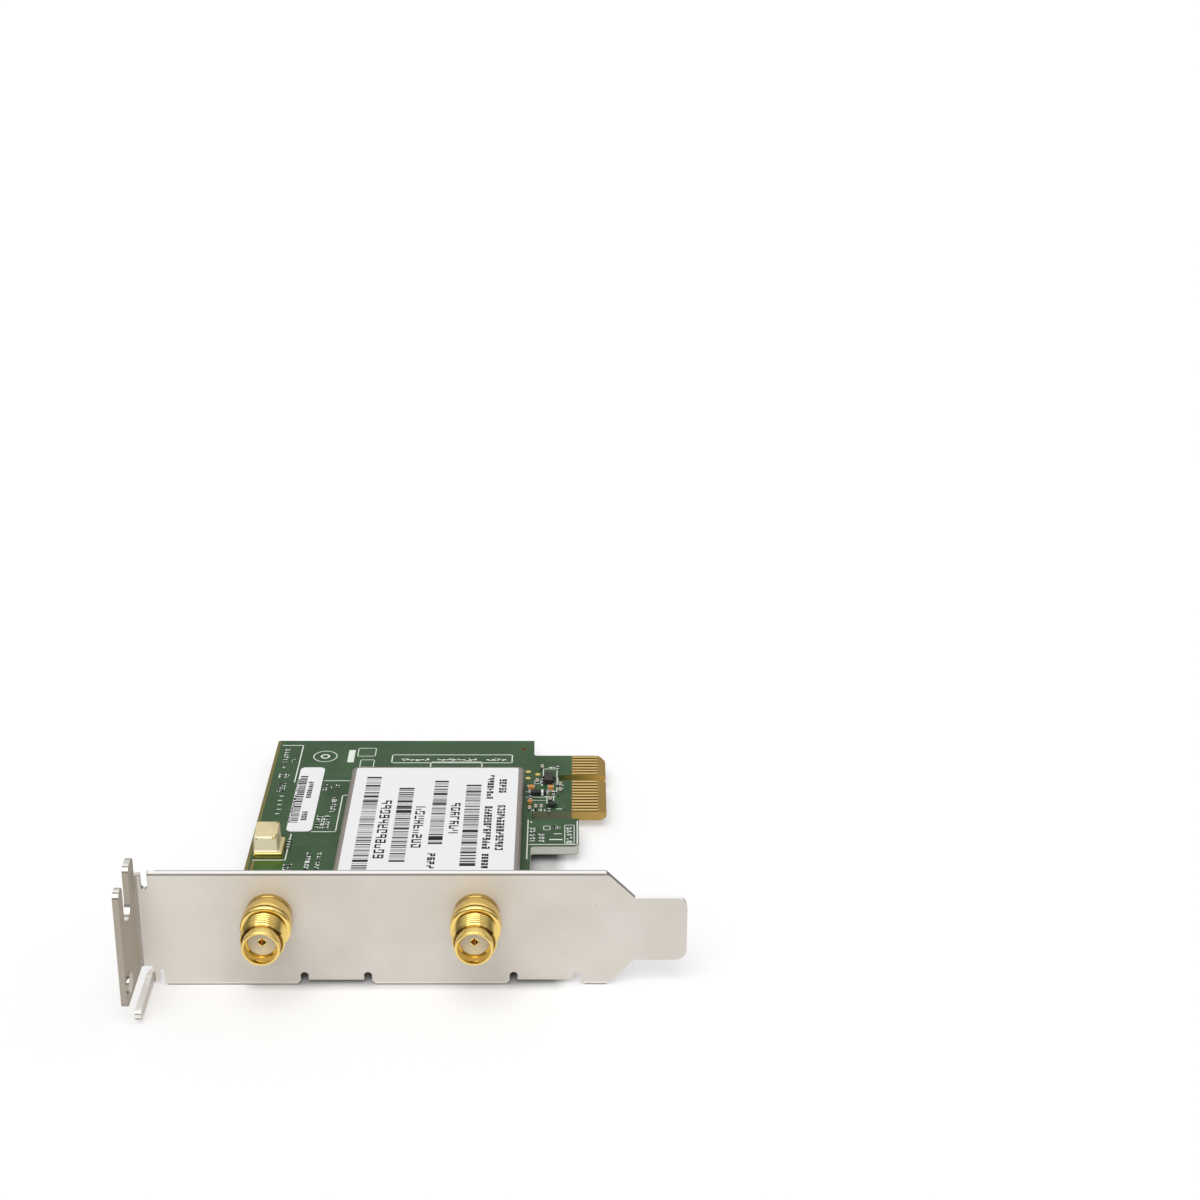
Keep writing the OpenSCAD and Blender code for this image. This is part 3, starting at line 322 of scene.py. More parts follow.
def makeClipGold():
    # the folded cap is satin and pale, with painted light on its faces that turn to the front and painted
    # shade in its dimples; its skirt is polished and mirrors the board
    look = {
        "bright": tone(226, 212, 172), "deep": tone(214, 198, 150), "near": tone(222, 212, 182),
        "polished": tone(206, 186, 104), "dimpleShade": tone(120, 96, 40), "foot": 0.93, "leaning": -0.6,
        "frontDimple": (0.45, 2.85), "frontSize": 0.02, "frontDepth": 1.6,
        "topDimple": (3.35, 0.4), "topSize": 0.025, "topFrom": 3.4}
    s = Shader("plated clip gold")
    p = s.card()
    x, y, z = s.axes(p)
    facing = s.normals()[1]
    foot = z < boardTop + look["foot"]
    cloud = s.noise(p, 1.4, 3.0, 0.5)
    fine = s.noise(p, 8.0, 3.0, 0.6)
    colour = s.mix(cloud, look["bright"], look["deep"])
    # painted light: faces turned towards the front are paler
    colour = s.mix(facing < look["leaning"], colour, look["near"])
    # painted shade in two small dimples, one on the front and one on top
    right, rise = look["frontDimple"]
    dimpleShade = disc(x - (clipLow[0] + right), z - (boardTop + rise), look["frontSize"])
    dimpleShade = dimpleShade * (y < clipLow[1] + look["frontDepth"])
    right, inward = look["topDimple"]
    onTop = disc(x - (clipLow[0] + right), y - (clipHigh[1] - inward), look["topSize"])
    dimpleShade = dimpleShade + onTop * (z > boardTop + look["topFrom"])
    colour = s.mix(dimpleShade * 0.8, colour, look["dimpleShade"])
    colour = s.mix(foot, colour, look["polished"])
    return s.surface(colour=colour, metal=foot * 0.5 + 0.5, rough=0.4 - foot * 0.33 + fine * 0.06,
                     normal=s.bump(fine, 0.12, 0.00001))


def makeBoard():
    # the mask is green on top; the tongue is bare gold, and each cut shows what it went through
    look = {
        "mask": tone(40, 70, 37), "maskPale": tone(58, 90, 54), "pour": tone(47, 79, 44),
        "bare": tone(158, 128, 58), "bareDeep": tone(138, 110, 46), "gap": tone(74, 46, 12),
        "margin": tone(112, 104, 52), "cutPale": tone(212, 212, 204), "cutRim": tone(120, 132, 104),
        "cutGreen": tone(108, 118, 94), "cutGold": tone(196, 162, 92), "slot": tone(66, 84, 40),
        "slotEnd": tone(196, 158, 78), "window": tone(44, 86, 14), "strip": tone(150, 116, 58),
        "hole": tone(150, 92, 58), "pourX": (32.0, 56.0), "pourY": (63.2, 71.6),
        "viaPitch": (1.9, 2.35), "viaMiddle": (0.95, 1.17), "viaSize": 0.045, "viaShare": 0.72,
        "runPitch": 0.9, "runWide": 0.28, "lanes": (0.4, 0.62), "bareMargin": 0.1, "rowMargin": 0.2,
        "notch": (57.9, 60.2), "marginWide": 0.55, "marginFrom": 12.0, "beforeClip": 0.65,
        "windowX": (0.25, 4.9), "stripX": (-0.05, 0.3), "tongueFrom": 45.0, "lugFrom": 2.0,
        "foil": (0.12, 0.14), "slotX": 59.0, "slotY": (57.5, 60.5), "slotFade": (60.0, 8.0),
        "holePlace": (54.4, 69.7), "holeSize": 0.6, "layers": (0.8, 0.8, 9.0)}
    s = Shader("solder mask and laminate")
    p = s.card()
    x, y, z = s.axes(p)
    side = abs(s.normals()[2]) < 0.5
    cloud = s.noise(p, 0.16, 4.0, 0.55)
    fine = s.noise(p, 3.0, 4.0, 0.6)
    mask = s.mix(s.rise(cloud, 0.3, 0.72), look["mask"], look["maskPale"])
    pour = within(y, *look["pourY"]) * within(x, *look["pourX"])
    mask = s.mix(pour * 0.55, mask, look["pour"])
    (pitchX, pitchY), (middleX, middleY) = look["viaPitch"], look["viaMiddle"]
    via = disc(x % pitchX - middleX, y % pitchY - middleY, look["viaSize"])
    cell = s.add("ShaderNodeVectorMath", {"operation": "SNAP"}, {0: p, 1: (pitchX, pitchY, 40.0)})
    chance = s.add("ShaderNodeTexWhiteNoise", {"noise_dimensions": "2D"}, {"Vector": cell})
    mask = s.mix(via * (chance > look["viaShare"]) * 0.6, mask, look["maskPale"])
    # faint copper runs under the mask: thin stripes, one a pitch, that turn into slanted ones
    lane = s.noise(p, 0.09, 1.0, 0.4)
    runs = (x + y * (lane > 0.5)) % look["runPitch"] < look["runWide"]
    mask = s.mix(runs * within(lane, *look["lanes"]) * 0.3, mask, look["maskPale"])
    bare = s.mix(fine, look["bare"], look["bareDeep"])
    nearRow, farRow = contactLow[1] - look["rowMargin"], contactHigh[1] + look["rowMargin"]
    rows = within(x, contactLow[0], contactHigh[0]) * within(y, nearRow, farRow)
    bare = s.mix(rows * (1 - within(y, *look["notch"])), bare, look["gap"])
    margin = (x < boardLow[0] + look["marginWide"]) * (y > look["marginFrom"])
    beforeClip = within(y, look["marginFrom"], clipLow[1] - look["beforeClip"])
    window, strip = [within(x, clipLow[0] + near, clipLow[0] + far) * beforeClip
                     for near, far in (look["windowX"], look["stripX"])]
    top = s.mix(window, mask, look["window"])
    top = s.mix(strip * 0.8, top, look["strip"])
    top = s.mix(margin, top, look["margin"])
    tongue = (x > contactLow[0] - look["bareMargin"]) * (y > look["tongueFrom"])
    top = s.mix(tongue, top, bare)
    layers = s.noise(s.stretched(p, look["layers"]), 1.0)
    onLug = (y < look["tongueFrom"]) * (x > boardLow[0] + look["lugFrom"])
    under, over = look["foil"]
    core = within(z, boardLow[2] + under, boardTop - over)
    cut = s.mix(onLug, look["cutGreen"], s.mix(core, look["cutRim"], look["cutPale"]))
    # painted shade: the slot's walls are dark, growing lighter towards its end
    slot = within(y, *look["slotY"]) * (x > look["slotX"])
    cut = s.mix(tongue, cut, look["cutGold"])
    start, reach = look["slotFade"]
    cut = s.mix(slot, cut, s.mix(s.rise((x - start) / reach, 0.1, 0.9), look["slot"], look["slotEnd"]))
    holeX, holeY = look["holePlace"]
    cut = s.mix(disc(x - holeX, y - holeY, look["holeSize"]), cut, look["hole"])
    cut = s.mix(layers * (1 - slot) * 0.4, cut, s.mix(0.5, cut, look["bareDeep"]))
    rough = side * 0.3 + (1 - side) * (fine * 0.1) + 0.3
    return s.surface(colour=s.mix(side, top, cut), rough=rough, specular=0.24,
                     normal=s.bump(fine, 0.1, 0.00001))


def makePlain(name, light, dark, rough, scale=3.0, specular=0.4, grain=0.15):
    # paint, paper, plastic or ink with clouds of a darker tone
    s = Shader(name)
    p = s.card()
    cloud = s.noise(p, scale, 4.0, 0.6)
    return s.surface(colour=s.mix(cloud, light, dark), rough=cloud * 0.15 + rough,
                     specular=specular, normal=s.bump(cloud, grain, 0.00001))


def makeCapacitorTan():  # the bodies beside the clip are dark, the others tan
    look = {"body": tone(178, 142, 98), "dark": tone(20, 22, 22), "worn": tone(60, 50, 40),
            "besideClip": 25.0}
    s = Shader("capacitor body")
    p = s.card()
    cloud = s.noise(p, 6.0, 4.0, 0.6)
    base = s.mix(s.axes(p)[0] < look["besideClip"], look["body"], look["dark"])
    return s.surface(colour=s.mix(cloud * 0.4, base, look["worn"]), rough=cloud * 0.15 + 0.4,
                     specular=0.4, normal=s.bump(cloud, 0.2, 0.00001))


def makeContacts():
    # each contact is bright along its middle, with painted shade towards its sides; the test pads stay
    # bright
    look = {"bright": tone(255, 230, 150), "deep": tone(246, 200, 108), "dark": tone(104, 68, 24),
            "middle": 0.26, "streak": (0.5, 6.0, 1.0), "edge": 0.05}
    s = Shader("contact gold")
    p = s.card()
    x, y, z = s.axes(p)
    streak = s.noise(s.stretched(p, look["streak"]), 1.0, 3.0, 0.6)
    half = contactPitch / 2
    across = abs((y - contactLow[1] - contactWide / 2 + half) % contactPitch - half)
    onRow = x > contactLow[0] - look["edge"]
    colour = s.mix(streak, look["bright"], look["deep"])
    # painted shade along each contact's sides
    colour = s.mix((across > look["middle"]) * onRow, colour, look["dark"])
    return s.surface(colour=colour, metal=1.0, rough=streak * 0.15 + 0.2)


finishes = {
    "nickel": makeNickel(),
    "screwSteel": makeSteel("zinc steel", tone(196, 195, 190), tone(168, 166, 160), 0.26),
    "shieldSteel": makeSteel("tinned steel", tone(176, 168, 160), tone(150, 142, 134), 0.3),
    "jackGold": makeJackGold(),
    "clipGold": makeClipGold(),
    "contactGold": makeContacts(),
    "board": makeBoard(),
    "paper": makePlain("label paper", tone(241, 241, 242), tone(237, 237, 238), 0.55, 8.0, 0.3, 0.05),
    "ink": makePlain("label ink", tone(18, 18, 20), tone(34, 34, 36), 0.5, 8.0, 0.2, 0.05),
    "inkGrey": makePlain("label ink, thin bars", tone(44, 44, 47), tone(72, 72, 75), 0.5, 2.0, 0.2),
    "silk": makePlain("white legend", tone(238, 242, 236), tone(222, 230, 220), 0.55, 6.0, 0.3, 0.1),
    "solder": makeSteel("solder", tone(205, 205, 202), tone(176, 176, 172), 0.2),
    "insulator": makePlain("insulator", tone(232, 224, 206), tone(222, 212, 190), 0.35, 2.0, 0.4, 0.05),
    "jacket": makePlain("lead jacket", tone(24, 24, 26), tone(36, 36, 38), 0.35, 1.5, 0.5, 0.1),
    "chip": makePlain("moulded chip", tone(26, 26, 28), tone(40, 40, 42), 0.45, 5.0, 0.35, 0.3),
    "tan": makeCapacitorTan(),
    "chipBrown": makePlain("moulded chip, brown top", tone(62, 52, 46), tone(36, 32, 30), 0.4, 3.0, 0.4, 0.3),
    "orange": makePlain("tantalum body", tone(214, 152, 78), tone(196, 132, 60), 0.38, 6.0, 0.4, 0.2),
}
print("finishes:", len(finishes))


# Building blocks

sharpFrom = 30  # degrees at which an edge of a softened piece counts as sharp


def makePiece(name, points, faces, finish, replaced=(), smooth=True, sharp=35):
    # points are millimetres on the card; edges over sharp degrees stay hard
    mesh = bpy.data.meshes.new(name)
    mesh.from_pydata(toFrame(points).tolist(), [], faces)
    form = bmesh.new()
    form.from_mesh(mesh)
    bmesh.ops.recalc_face_normals(form, faces=form.faces)
    form.to_mesh(mesh)
    form.free()
    mesh.polygons.foreach_set("use_smooth", np.full(len(mesh.polygons), smooth))
    if smooth:
        mesh.set_sharp_from_angle(angle=math.radians(sharp))
    piece = bpy.data.objects.new(name, mesh)
    bpy.context.scene.collection.objects.link(piece)
    mesh.materials.append(finishes[finish])
    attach(piece, "root")
    if replaced:
        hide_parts(*replaced)
    return piece


def gridFaces(rows, columns, closedRows=False):  # quads between grid neighbours; each row is a ring
    row, column = np.meshgrid(np.arange(rows if closedRows else rows - 1), np.arange(columns),
                              indexing="ij")
    nextRow, nextColumn = (row + 1) % rows, (column + 1) % columns
    corners = [row * columns + column, row * columns + nextColumn,
               nextRow * columns + nextColumn, nextRow * columns + column]
    return np.stack(corners, -1).reshape(-1, 4).tolist()


def blocks(low, high):  # each block is the unit cube stretched from its low to its high corner
    low, high = np.atleast_2d(low).astype(float), np.atleast_2d(high).astype(float)
    unit = np.array([[i & 1, i >> 1 & 1, i >> 2] for i in range(8)], float)
    points = low[:, None] + unit[None] * (high - low)[:, None]
    quads = np.array([[0, 2, 3, 1], [4, 5, 7, 6], [0, 1, 5, 4], [2, 6, 7, 3], [0, 4, 6, 2], [1, 3, 7, 5]])
    faces = quads[None] + 8 * np.arange(len(low))[:, None, None]
    return points.reshape(-1, 3), faces.reshape(-1, 4).tolist()


def blockPiece(name, low, high, finish, replaced=(), edge=0.0):  # one piece of blocks
    points, faces = blocks(low, high)
    piece = makePiece(name, points, faces, finish, replaced, smooth=edge > 0)
    if edge > 0:
        softenEdges(piece, edge, 2)


def softenEdges(piece, width, segments):  # rounds every hard edge by width millimetres
    bevel = piece.modifiers.new("soft edges", "BEVEL")
    bevel.width = width * mm
    bevel.segments = segments
    bevel.limit_method = "ANGLE"
    bevel.angle_limit = math.radians(sharpFrom)
    bevel.harden_normals = True
    bevel.use_clamp_overlap = True


def nodeMesh(node):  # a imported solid's corners on the card, joined where they meet, and its triangles
    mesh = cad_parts[node].data
    places = np.empty(len(mesh.vertices) * 3)
    mesh.vertices.foreach_get("co", places)
    corners = np.empty(len(mesh.loops), int)
    mesh.loops.foreach_get("vertex_index", corners)
    points = (places.reshape(-1, 3) - cardOrigin) / mm
    joined, turned = np.unique(np.round(points, 4), axis=0, return_inverse=True)
    return joined, turned.reshape(-1)[corners].reshape(-1, 3)


def solidBoxes(node):  # lowest and highest corner of each separate solid in a node
    points, triangles = nodeMesh(node)
    label = np.arange(len(points))
    while True:
        lowest = label[triangles].min(1)
        spread = label.copy()
        np.minimum.at(spread, triangles.ravel(), np.repeat(lowest, 3))
        if (spread == label).all():
            break
        label = spread
    groups = [points[label == k] for k in np.unique(label[triangles])]
    return np.array([g.min(0) for g in groups]), np.array([g.max(0) for g in groups])


def softCopy(node, name, finish, edge, segments=2, reform=None):
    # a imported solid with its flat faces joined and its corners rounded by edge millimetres
    points, triangles = nodeMesh(node)
    if reform:
        points = reform(points)
    keep = (triangles[:, 0] != triangles[:, 1]) & (triangles[:, 1] != triangles[:, 2])
    keep &= triangles[:, 0] != triangles[:, 2]
    piece = makePiece(name, points, triangles[keep].tolist(), finish, [node])
    form = bmesh.new()
    form.from_mesh(piece.data)
    flat = math.radians(0.6)
    bmesh.ops.dissolve_limit(form, angle_limit=flat, verts=form.verts, edges=form.edges)
    form.to_mesh(piece.data)
    form.free()
    piece.data.polygons.foreach_set("use_smooth", np.full(len(piece.data.polygons), True))
    piece.data.set_sharp_from_angle(angle=math.radians(sharpFrom))
    softenEdges(piece, edge, segments)
    return piece


def paint(finish, *nodes):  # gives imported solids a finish
    for node in nodes:
        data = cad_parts[node].data
        data.materials.clear()
        data.materials.append(finishes[finish])
        data.polygons.foreach_set("material_index", np.zeros(len(data.polygons), int))


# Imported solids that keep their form

paint("board", "main_board")
paint("contactGold", "edge_contacts_top", "edge_contacts_bottom", "test_pads")
paint("screwSteel", "bracket_screws", "lock_washer_1", "lock_washer_2")
paint("shieldSteel", "shield_cover", "shield_frame", "crystal")
paint("paper", "shield_label", "serial_label")
paint("jackGold", "jack_body_1", "jack_body_2", "jack_contact_1", "jack_contact_2", "jack_nut_1",
      "jack_nut_2", "crimp_ferrule_1", "crimp_ferrule_2", "lead_plug_1", "lead_plug_2",
      "board_socket_1", "board_socket_2")
paint("insulator", "jack_insulator_1", "jack_insulator_2")
paint("chip", "radio_chip", "front_end_1", "front_end_2", "memory_chip", "power_inductor",
      "inner_resistors")
paint("tan", "inner_capacitors")
print("packed solids painted")


# Bracket: the folded sheet with its sheared edges broken

bracketLook = {"edge": 0.17, "segments": 3, "tabs": (28.7, 58.85), "tabWide": 8.0, "under": 0.62,
               "fold": 1.26, "crisp": 0.85, "near": 0.01, "onFold": 0.03}


def crispFolds(points):
    # the outside of each tab's fold, d from the fold's middle line, moves out towards its corner:
    # p = middle + d (1 + crisp (fold / max(|dy|, |dz|) - 1))
    look = bracketLook
    fold = look["fold"]
    middle = np.array([fold, look["under"] + fold])
    d = points[:, 1:] - middle
    onTab = np.abs(points[:, :1] - np.array(look["tabs"])).min(1) < look["tabWide"] / 2 + look["near"]
    onFold = np.abs(np.hypot(d[:, 0], d[:, 1]) - fold) < look["onFold"]
    outside = onTab & onFold & (d < look["near"]).all(1)
    least = fold * 0.7  # on the arc the larger of |dy| and |dz| never gets this small
    push = 1 + look["crisp"] * (fold / np.maximum(np.abs(d).max(1), least) - 1)
    moved = points.copy()
    moved[outside, 1:] = middle + d[outside] * push[outside, None]
    print("tab folds:", int(outside.sum()), "corners moved")
    return moved


sheet = softCopy("bracket", "bracket_sheet", "nickel", bracketLook["edge"],
                 bracketLook["segments"], crispFolds)
print("bracket:", len(sheet.data.polygons), "faces")


# Jacks: turned bodies with a cut thread

jackLook = {
    "sides": 128, "pitch": 0.5, "depth": 0.3, "crest": 3.15, "core": 2.7, "threadStart": 4.6,
    "threadEnd": 7.9, "before": 0.2, "leadIn": 0.35, "leadOut": 0.4, "stepsPerTurn": 24}


def jackProfile():  # (radius, distance in front of the plate) round the whole section
    return [
        (1.35, -7.4), (1.35, -4.4), (2.8, -4.4), (2.95, -4.25), (2.95, 0.0), (3.35, 0.0),
        (3.35, 0.7), (3.28, 0.75), (3.28, 0.95), (3.35, 1.0), (3.35, 1.9), (3.45, 1.9),
        (3.55, 1.93), (3.6, 2.02), (3.6, 3.3), (3.55, 3.38), (3.3, 3.4), (3.3, 3.6),
        (3.55, 3.62), (3.6, 3.7), (3.6, 4.05), (3.55, 4.17), (3.35, 4.3), (2.72, 4.32)]


def noseProfile():  # from the thread's end round the rim, into the socket and back out of the stem
    return [
        (2.7, 7.95), (2.7, 9.3), (2.67, 9.42), (2.58, 9.49), (2.45, 9.5), (2.34, 9.46), (2.3, 9.38),
        (2.3, 7.6), (2.07, 7.6), (2.07, -3.6), (0.77, -3.6), (0.77, -7.4)]


def makeJack(index):
    # radius(turn, h) = crest - depth * (1 - wave), with wave = (1 + cosine of whole turns at
    # h / pitch - turn) / 2, lowered to the core at both ends of the thread
    look = jackLook
    start, end, core = look["threadStart"], look["threadEnd"], look["core"]
    h = np.linspace(start - look["before"], end,
                    int((end - start) / look["pitch"] * look["stepsPerTurn"]))
    turn = np.arange(look["sides"]) / look["sides"]
    phase = (h[:, None] / look["pitch"] - turn[None]) % 1.0
    wave = 0.5 + 0.5 * np.cos(2 * np.pi * phase)
    leadIn = np.clip((h - start + look["before"] / 2) / look["leadIn"], 0, 1)
    leadOut = np.clip((end - h) / look["leadOut"], 0, 1)
    cap = core + (look["crest"] - core) * np.minimum(leadIn, leadOut)[:, None]
    thread = np.minimum(look["crest"] - look["depth"] * (1 - wave), cap)
    before, after = np.array(jackProfile()), np.array(noseProfile())
    flat = np.ones((1, look["sides"]))
    radius = np.vstack([before[:, :1] * flat, thread, after[:, :1] * flat])
    along = np.concatenate([before[:, 1], h, after[:, 1]])[:, None] * flat
    angle = turn[None] * 2 * np.pi
    points = np.stack([jackX[index] + radius * np.cos(angle), -along,
                       jackZ + radius * np.sin(angle)], -1)
    faces = gridFaces(radius.shape[0], look["sides"], closedRows=True)
    makePiece(f"jack_shell_{index + 1}", points.reshape(-1, 3), faces, "jackGold",
              [f"jack_body_{index + 1}"], sharp=40)


for index in range(2):
    makeJack(index)
print("jacks threaded")


# Leads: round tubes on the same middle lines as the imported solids

leadLook = {"diameter": 1.37, "sides": 20, "steps": 8, "start": 5.0, "z": 4.405, "y": 9.5,
            "plugX": (31.9, 43.7)}


def leadPoints(index):  # from the jack's ferrule, down over the board and into its socket
    jx, jz = jackX[index], jackZ
    px, py, pz = leadLook["plugX"][index], leadLook["y"], leadLook["z"]
    first = [(jx, leadLook["start"], jz), (jx, 6.6, jz), (jx, 8.4, jz), (jx + 0.1, 10, jz - 0.2)]
    if index == 0:
        return first + [
            (jx + 0.5, 11.4, jz - 0.9), (jx + 1.4, 12.6, jz - 2.1), (jx + 2.8, 13.3, jz - 3.4),
            (jx + 4.6, 13.4, jz - 4.7), (px - 5.6, py + 3.3, pz + 1.5), (px - 3.8, py + 2, pz + 0.7),
            (px - 2.2, py + 0.8, pz + 0.2), (px - 1, py + 0.1, pz), (px, py, pz), (px + 0.8, py, pz)]
    return first + [
        (jx + 0.4, 11.5, jz - 0.7), (jx + 1, 12.9, jz - 1.6), (jx + 1.5, 13.8, jz - 2.9),
        (jx + 1.5, 13.9, jz - 4.4), (jx + 0.6, 13.2, jz - 5.7), (px + 4.5, py + 2.5, pz + 0.9),
        (px + 3, py + 1.4, pz + 0.45), (px + 1.6, py + 0.5, pz + 0.1), (px + 0.7, py + 0.1, pz),
        (px, py, pz), (px - 0.8, py, pz)]


def smoothPath(points, steps):
    # cubic pieces between neighbours; the slope at a point is half the way between its neighbours
    p = np.array(points, float)
    ends = np.vstack([p[:1], p, p[-1:]])
    t = (np.arange(steps) / steps)[None, :, None]
    b, c = p[:-1, None], p[1:, None]
    m1 = (p[1:] - ends[:-3])[:, None] / 2
    m2 = (ends[3:] - p[:-1])[:, None] / 2
    curve = (b * (2 * t**3 - 3 * t**2 + 1) + m1 * (t**3 - 2 * t**2 + t)
             + c * (3 * t**2 - 2 * t**3) + m2 * (t**3 - t**2))
    return np.vstack([curve.reshape(-1, 3), p[-1:]])


def tube(path, radius, sides):  # circles square to the path, carried along it; closed at both ends
    ahead = np.gradient(path, axis=0)
    ahead /= np.linalg.norm(ahead, axis=1)[:, None]
    side = np.cross(ahead, upHint)
    side /= np.linalg.norm(side, axis=1)[:, None]
    up = np.cross(side, ahead)
    angle = np.arange(sides) * 2 * np.pi / sides
    ring = side[:, None] * np.cos(angle)[None, :, None] + up[:, None] * np.sin(angle)[None, :, None]
    points = (path[:, None] + ring * radius).reshape(-1, 3)
    ends = [list(range(sides)), list(range(len(points) - sides, len(points)))]
    return points, gridFaces(len(path), sides) + ends


for index in range(2):
    path = smoothPath(leadPoints(index), leadLook["steps"])
    points, faces = tube(path, leadLook["diameter"] / 2, leadLook["sides"])
    makePiece(f"coax_jacket_{index + 1}", points, faces, "jacket",
              [f"coax_lead_{index + 1}"])
print("leads swept")


# Prints: thin raised bars and marks

barSpace = 2.6  # modules counted for a bar and its gap, a little under what they take
markLong = 0.72  # the share of its pitch that a mark fills


def barRun(seed, x0, x1, near, far, module, thick):
    # bars lie across x and follow each other along y; a bar takes 1 to 3 modules and fills the
    # share thick of them, and a gap takes 1 or 2; what would pass far is dropped
    dice = np.random.default_rng(seed)
    count = int((far - near) / module / barSpace)
    bars = dice.choice([1, 1, 1, 2, 3], count) * module
    gaps = dice.choice([1, 1, 2], count) * module
    starts = near + np.concatenate([[0], np.cumsum(bars + gaps)[:-1]])
    keep = starts + bars < far
    starts, bars = starts[keep], bars[keep] * thick
    low = np.stack([np.full(len(bars), x0), starts], -1)
    high = np.stack([np.full(len(bars), x1), starts + bars], -1)
    return low, high


def markRun(seed, x0, x1, near, far, pitch, stroke, share):
    # a column of marks: each shows a share of seven short strokes, chosen by the dice
    dice = np.random.default_rng(seed)
    cells = near + np.arange(max(1, int((far - near) / pitch))) * pitch
    width, height = x1 - x0, pitch * markLong
    strokes = np.array([[0, 0, 0, 1], [0.5, 0, 0.5, 1], [1, 0, 1, 1], [0, 0, 0.5, 0], [0.5, 0, 1, 0],
                        [0, 1, 0.5, 1], [0.5, 1, 1, 1]], float)
    shown = dice.random((len(cells), len(strokes))) < share
    where, which = np.nonzero(shown)
    base = np.stack([np.full(len(where), x0), cells[where]], -1)
    size = np.array([width - stroke, height - stroke])
    low = base + strokes[which, :2] * size
    high = base + strokes[which, 2:] * size + stroke
    return low, high


def printPiece(name, runs, z, thickness, finish):  # every box of the runs, raised on z
    low = np.vstack([r[0] for r in runs])
    high = np.vstack([r[1] for r in runs])
    low = np.column_stack([low, np.full(len(low), z)])
    high = np.column_stack([high, np.full(len(high), z + thickness)])
    blockPiece(name, low, high, finish)


labelPrint = {  # bars are (seed, left, right, near, far), and marks have a pitch as well
    "ink": 0.012, "module": 0.17, "thin": 0.8, "heavy": 0.52, "heavyEnd": 0.55, "heavyInside": 4,
    "heavyInk": 0.018, "stroke": 0.3, "share": 0.66,
    "bars": [(1, 28.8, 31.2, 20.6, 53.8), (2, 34.4, 36.85, 25.4, 49.9), (3, 40.1, 42.35, 31.0, 52.4),
             (4, 45.35, 47.8, 24.1, 51.0)],
    "marks": [(11, 31.85, 33.5, 26.5, 47.1, 1.62), (12, 37.5, 39.05, 29.9, 44.0, 1.55),
              (13, 43.15, 44.65, 34.5, 45.9, 1.5), (14, 40.3, 41.5, 23.4, 29.6, 1.25),
              (15, 48.75, 49.8, 46.1, 55.4, 0.95), (16, 48.6, 49.85, 29.5, 44.2, 0.95),
              (17, 48.7, 49.75, 23.4, 28.2, 0.95), (18, 50.7, 51.9, 48.2, 53.2, 1.0),
              (19, 50.65, 51.9, 29.1, 44.2, 1.0)],
    "serialBars": (21, 17.1, 18.3, 43.1, 59.6, 0.17, 0.95),
    "serialMarks": [
        (22, 18.7, 19.5, 51.6, 57.9, 0.75, 0.22, 0.7), (23, 18.7, 19.6, 43.9, 47.8, 0.8, 0.22, 0.7),
        (24, 16.8, 17.1, 43.1, 59.6, 1.1, 0.12, 0.55)]}


def heavyRun(seed, left, right, near, far):  # a heavy bar at both ends and some between them
    dice = np.random.default_rng(seed + 40)
    inside = dice.uniform(near + 1, far - 2, labelPrint["heavyInside"])
    starts = np.concatenate([[far - labelPrint["heavyEnd"]], inside, [near]])
    return (np.stack([np.full(len(starts), left), starts], -1),
            np.stack([np.full(len(starts), right), starts + labelPrint["heavy"]], -1))


thinBars = [barRun(*place, labelPrint["module"], labelPrint["thin"]) for place in labelPrint["bars"]]
heavyBars = [heavyRun(*place) for place in labelPrint["bars"]]
coverMarks = [markRun(*place, labelPrint["stroke"], labelPrint["share"]) for place in labelPrint["marks"]]
serialPrint = [barRun(*labelPrint["serialBars"])] + [markRun(*place) for place in labelPrint["serialMarks"]]
ink = labelPrint["ink"]
printPiece("cover_label_bars", thinBars, labelTop, ink, "inkGrey")
printPiece("cover_label_heavy_bars", heavyBars, labelTop, labelPrint["heavyInk"], "ink")
printPiece("cover_label_marks", coverMarks, labelTop, ink, "ink")
printPiece("serial_label_print", serialPrint, serialTop, ink, "ink")
print("labels printed")


# Legend: white lines, outlines and marks on the board

silkLook = {"line": 0.19, "height": 0.02, "column": 0.85, "columnShare": 0.78, "stroke": 0.24,
            "share": 0.72, "target": (20.4, 66.9)}


def line(x0, y0, x1, y1, wide=None):  # a straight line along x or y
    half = (wide or silkLook["line"]) / 2
    return (np.array([[min(x0, x1) - half, min(y0, y1) - half]]),
            np.array([[max(x0, x1) + half, max(y0, y1) + half]]))


def outline(x0, y0, x1, y1, wide=None):  # four lines round a box
    return [line(x0, y0, x1, y0, wide), line(x0, y1, x1, y1, wide),
            line(x0, y0, x0, y1, wide), line(x1, y0, x1, y1, wide)]


def fill(x0, y0, x1, y1):  # a box that is white all over
    return np.array([[x0, y0]]), np.array([[x1, y1]])


